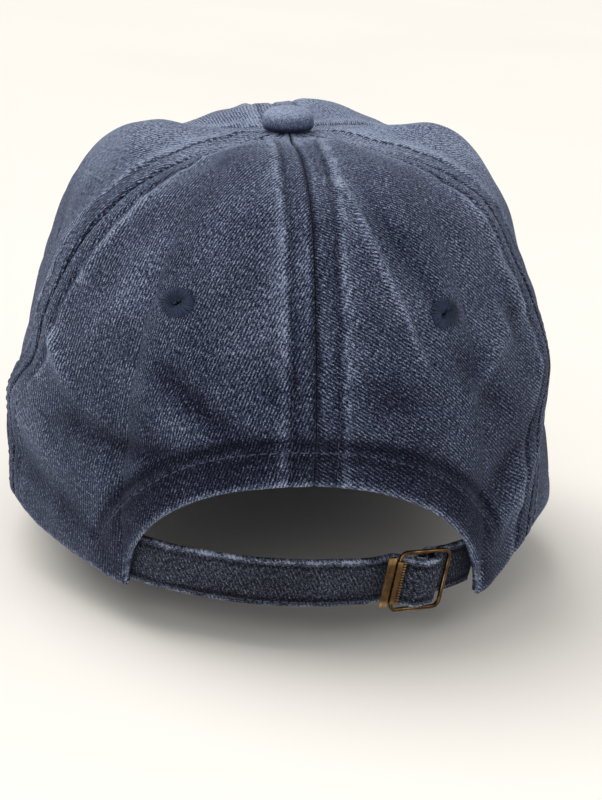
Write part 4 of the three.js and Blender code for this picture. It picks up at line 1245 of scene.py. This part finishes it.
def make_clamp():
    """A curled sleeve on the side bar with a flat lever outside it and a comb of teeth inside."""
    half = FRAME_HALF_Z - FRAME_CORNER - 0.2
    outside = SLEEVE_HOLE + SLEEVE
    sleeve = np.concatenate([arc(outside, 12, 348, 44), arc(SLEEVE_HOLE, 348, 12, 36)])
    reach = LEVER_REACH + 0.35
    plate = [(SLEEVE_HOLE + 0.25, -0.42), (reach - 0.5, -0.42), (reach - 0.12, -0.26), (reach, 0.0)]
    plate += [(reach - 0.12, 0.3), (reach - 0.5, 0.5), (outside + 0.75, 0.56), (outside + 0.5, 0.4)]
    plate += [(outside + 0.4, -0.2), (SLEEVE_HOLE + 0.25, -0.2)]
    points, faces, wear = [], [], []

    def add(shape, ends, bright):
        solid, solid_faces = shape
        offset = sum(len(p) for p in points)
        points.append(solid)
        faces.extend(tuple(v + offset for v in face) for face in solid_faces)
        wear.append(np.clip(bright + ends * ease(np.abs(solid[:, 2]), half - 1.4, half), 0, 1))

    add(extruded(sleeve, half, 0.15), 0.4, 0.25)
    dense = []
    for a, b in zip(plate, plate[1:] + plate[:1]):
        dense += [tuple(np.array(a) + (np.array(b) - a) * f) for f in np.linspace(0, 1, 5)[:-1]]
    add(extruded(dense, half + 1.2, 0.35), 0.5, 0.25)
    pitch = 2 * half / TEETH
    tooth = np.array([(0.0, -0.3), (0.75, -0.22), (0.95, 0.0), (0.75, 0.22), (0.0, 0.3)])
    lean = math.radians(145)
    turn = np.array([[math.cos(lean), -math.sin(lean)], [math.sin(lean), math.cos(lean)]])
    for index in range(TEETH):
        shape, shape_faces = extruded((tooth + [outside - 0.15, 0]) @ turn.T, pitch * 0.3, 0.1)
        shape = shape + [0, 0, -half + pitch * (index + 0.5)]
        add((shape, shape_faces), 0.0, 0.62)
    solid = np.concatenate(points) + [FRAME_HALF_X, 0, 0]
    mesh_object(
        "buckle_clamp_brass", in_buckle(solid), faces, MATERIALS["brass"], "clamp",
        "brass", ["buckle_clamp"], wear=np.concatenate(wear),
    )


def make_tab():
    """A folded cloth tab round the buckle's post, its tongue sewn under the crown's corner."""
    under = -BUCKLE_OFF - STRAP_CLOTH / 2 - 0.6
    x = np.linspace(-TAB_END, -4.5, 36)
    top = np.stack([x, under - x * x / (2 * STRAP_RADIUS) - 0.36], -1)
    bottom = top[::-1] - [0, 0.78]
    eye = arc(TAB_HOLE + 0.42, 205, -60, 40, (0, -POST_DROP))
    loop = smooth_route([tuple(p) for p in np.concatenate([top[::5], eye[::4], bottom[::5]])], 170)
    tangent = unit(np.gradient(loop, axis=0))
    side = np.stack([-tangent[:, 1], tangent[:, 0]], -1)
    turn = np.arange(40) * 2 * math.pi / 40
    wide = TAB_HALF * np.sign(np.sin(turn)) * np.abs(np.sin(turn)) ** 0.8
    thick = 0.36 * np.sign(np.cos(turn)) * np.abs(np.cos(turn)) ** 0.4
    flat = loop[:, None] + side[:, None] * thick[None, :, None]
    points = np.concatenate([flat, np.broadcast_to(wide[None, :, None], flat.shape[:2] + (1,))], -1)
    length = np.cumsum(np.linalg.norm(np.diff(loop, axis=0, prepend=loop[:1]), axis=1))
    q = np.broadcast_to(length[:, None], flat.shape[:2])
    z = np.broadcast_to(wide, flat.shape[:2])
    mesh_object(
        "buckle_tab_cloth", in_buckle(points), tube_faces(1, len(loop), len(turn)),
        MATERIALS["strap"], "crown",
        "strap_cloth", ["buckle_tab"],
        weave=weave_points(q, z, 60, 70).reshape(-1, 3),
        wear=(0.7 * hump(np.abs(z), 6.8, 0.8)).ravel(),
        shade=(0.4 * hump(np.abs(z), 5.6, 0.7)).ravel(),
    )


# ---------- scene ----------
def make_stage(lowest):
    bpy.ops.mesh.primitive_plane_add(size=14, location=(0, -4, lowest))
    floor = bpy.context.object
    floor.name = "floor"
    floor.data.materials.append(floor_material())
    world = bpy.data.worlds.new("studio")
    bpy.context.scene.world = world
    world.use_nodes = True
    background = world.node_tree.nodes["Background"]
    background.inputs[0].default_value = colour(253, 251, 248)
    background.inputs[1].default_value = 0.57
    sun = bpy.data.lights.new("window", "SUN")
    sun.angle = math.radians(50)
    sun.energy = 2.0
    sun.color = (1.0, 0.985, 0.96)
    place_light(sun, Vector((0.55, -0.42, 1.2)))
    for name, place, size, power in (
        ("softbox", (0.5, 1.0, 0.7), 0.5, 2.2),
        ("side_card", (-0.9, 0.5, 0.6), 0.7, 1.2),
    ):
        lamp = bpy.data.lights.new(name, "AREA")
        lamp.size = size
        lamp.energy = power
        place_light(lamp, Vector(place))


def place_light(data, place):
    lamp = bpy.data.objects.new(data.name, data)
    bpy.context.scene.collection.objects.link(lamp)
    lamp.location = place
    lamp.rotation_mode = "QUATERNION"
    lamp.rotation_quaternion = (Vector((0, 0, 0.05)) - place).to_track_quat("-Z", "Y")


def make_camera():
    azimuth, elevation = math.radians(CAMERA_AZIMUTH), math.radians(CAMERA_ELEVATION)
    roll = math.radians(CAMERA_ROLL)
    level = math.cos(elevation)
    back = Vector((math.sin(azimuth) * level, math.cos(azimuth) * level, math.sin(elevation)))
    right = Vector((-math.cos(azimuth), math.sin(azimuth), 0))
    up = back.cross(right)
    turned_right = right * math.cos(roll) + up * math.sin(roll)
    turned_up = up * math.cos(roll) - right * math.sin(roll)
    data = bpy.data.cameras.new("camera")
    data.lens = CAMERA_LENS
    data.clip_start = 0.01
    camera = bpy.data.objects.new("camera", data)
    bpy.context.scene.collection.objects.link(camera)
    place = (Vector(CAMERA_AIM) + back * CAMERA_DISTANCE) * MM
    turned = Matrix((turned_right, turned_up, back)).transposed().to_4x4()
    camera.matrix_world = Matrix.Translation(place) @ turned
    bpy.context.scene.camera = camera


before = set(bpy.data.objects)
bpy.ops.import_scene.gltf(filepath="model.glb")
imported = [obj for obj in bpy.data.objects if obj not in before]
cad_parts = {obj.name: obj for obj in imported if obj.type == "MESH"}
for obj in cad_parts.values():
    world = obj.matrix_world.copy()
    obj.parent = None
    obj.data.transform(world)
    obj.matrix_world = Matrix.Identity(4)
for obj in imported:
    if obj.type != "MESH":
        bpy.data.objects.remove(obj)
bpy.context.scene.view_settings.view_transform = "Standard"
cad_low, cad_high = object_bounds()
for node in ("button_shell", "button_shank", "button_washer"):
    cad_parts[node].data.materials.clear()
    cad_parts[node].data.materials.append(MATERIALS["steel"])

make_crown()
make_tapes()
make_facing()
make_sweatband()
make_label()
make_button()
make_visor()
make_strap()
make_frame()
make_clamp()
make_tab()
make_stage(cad_low.z - 0.0004)
make_camera()
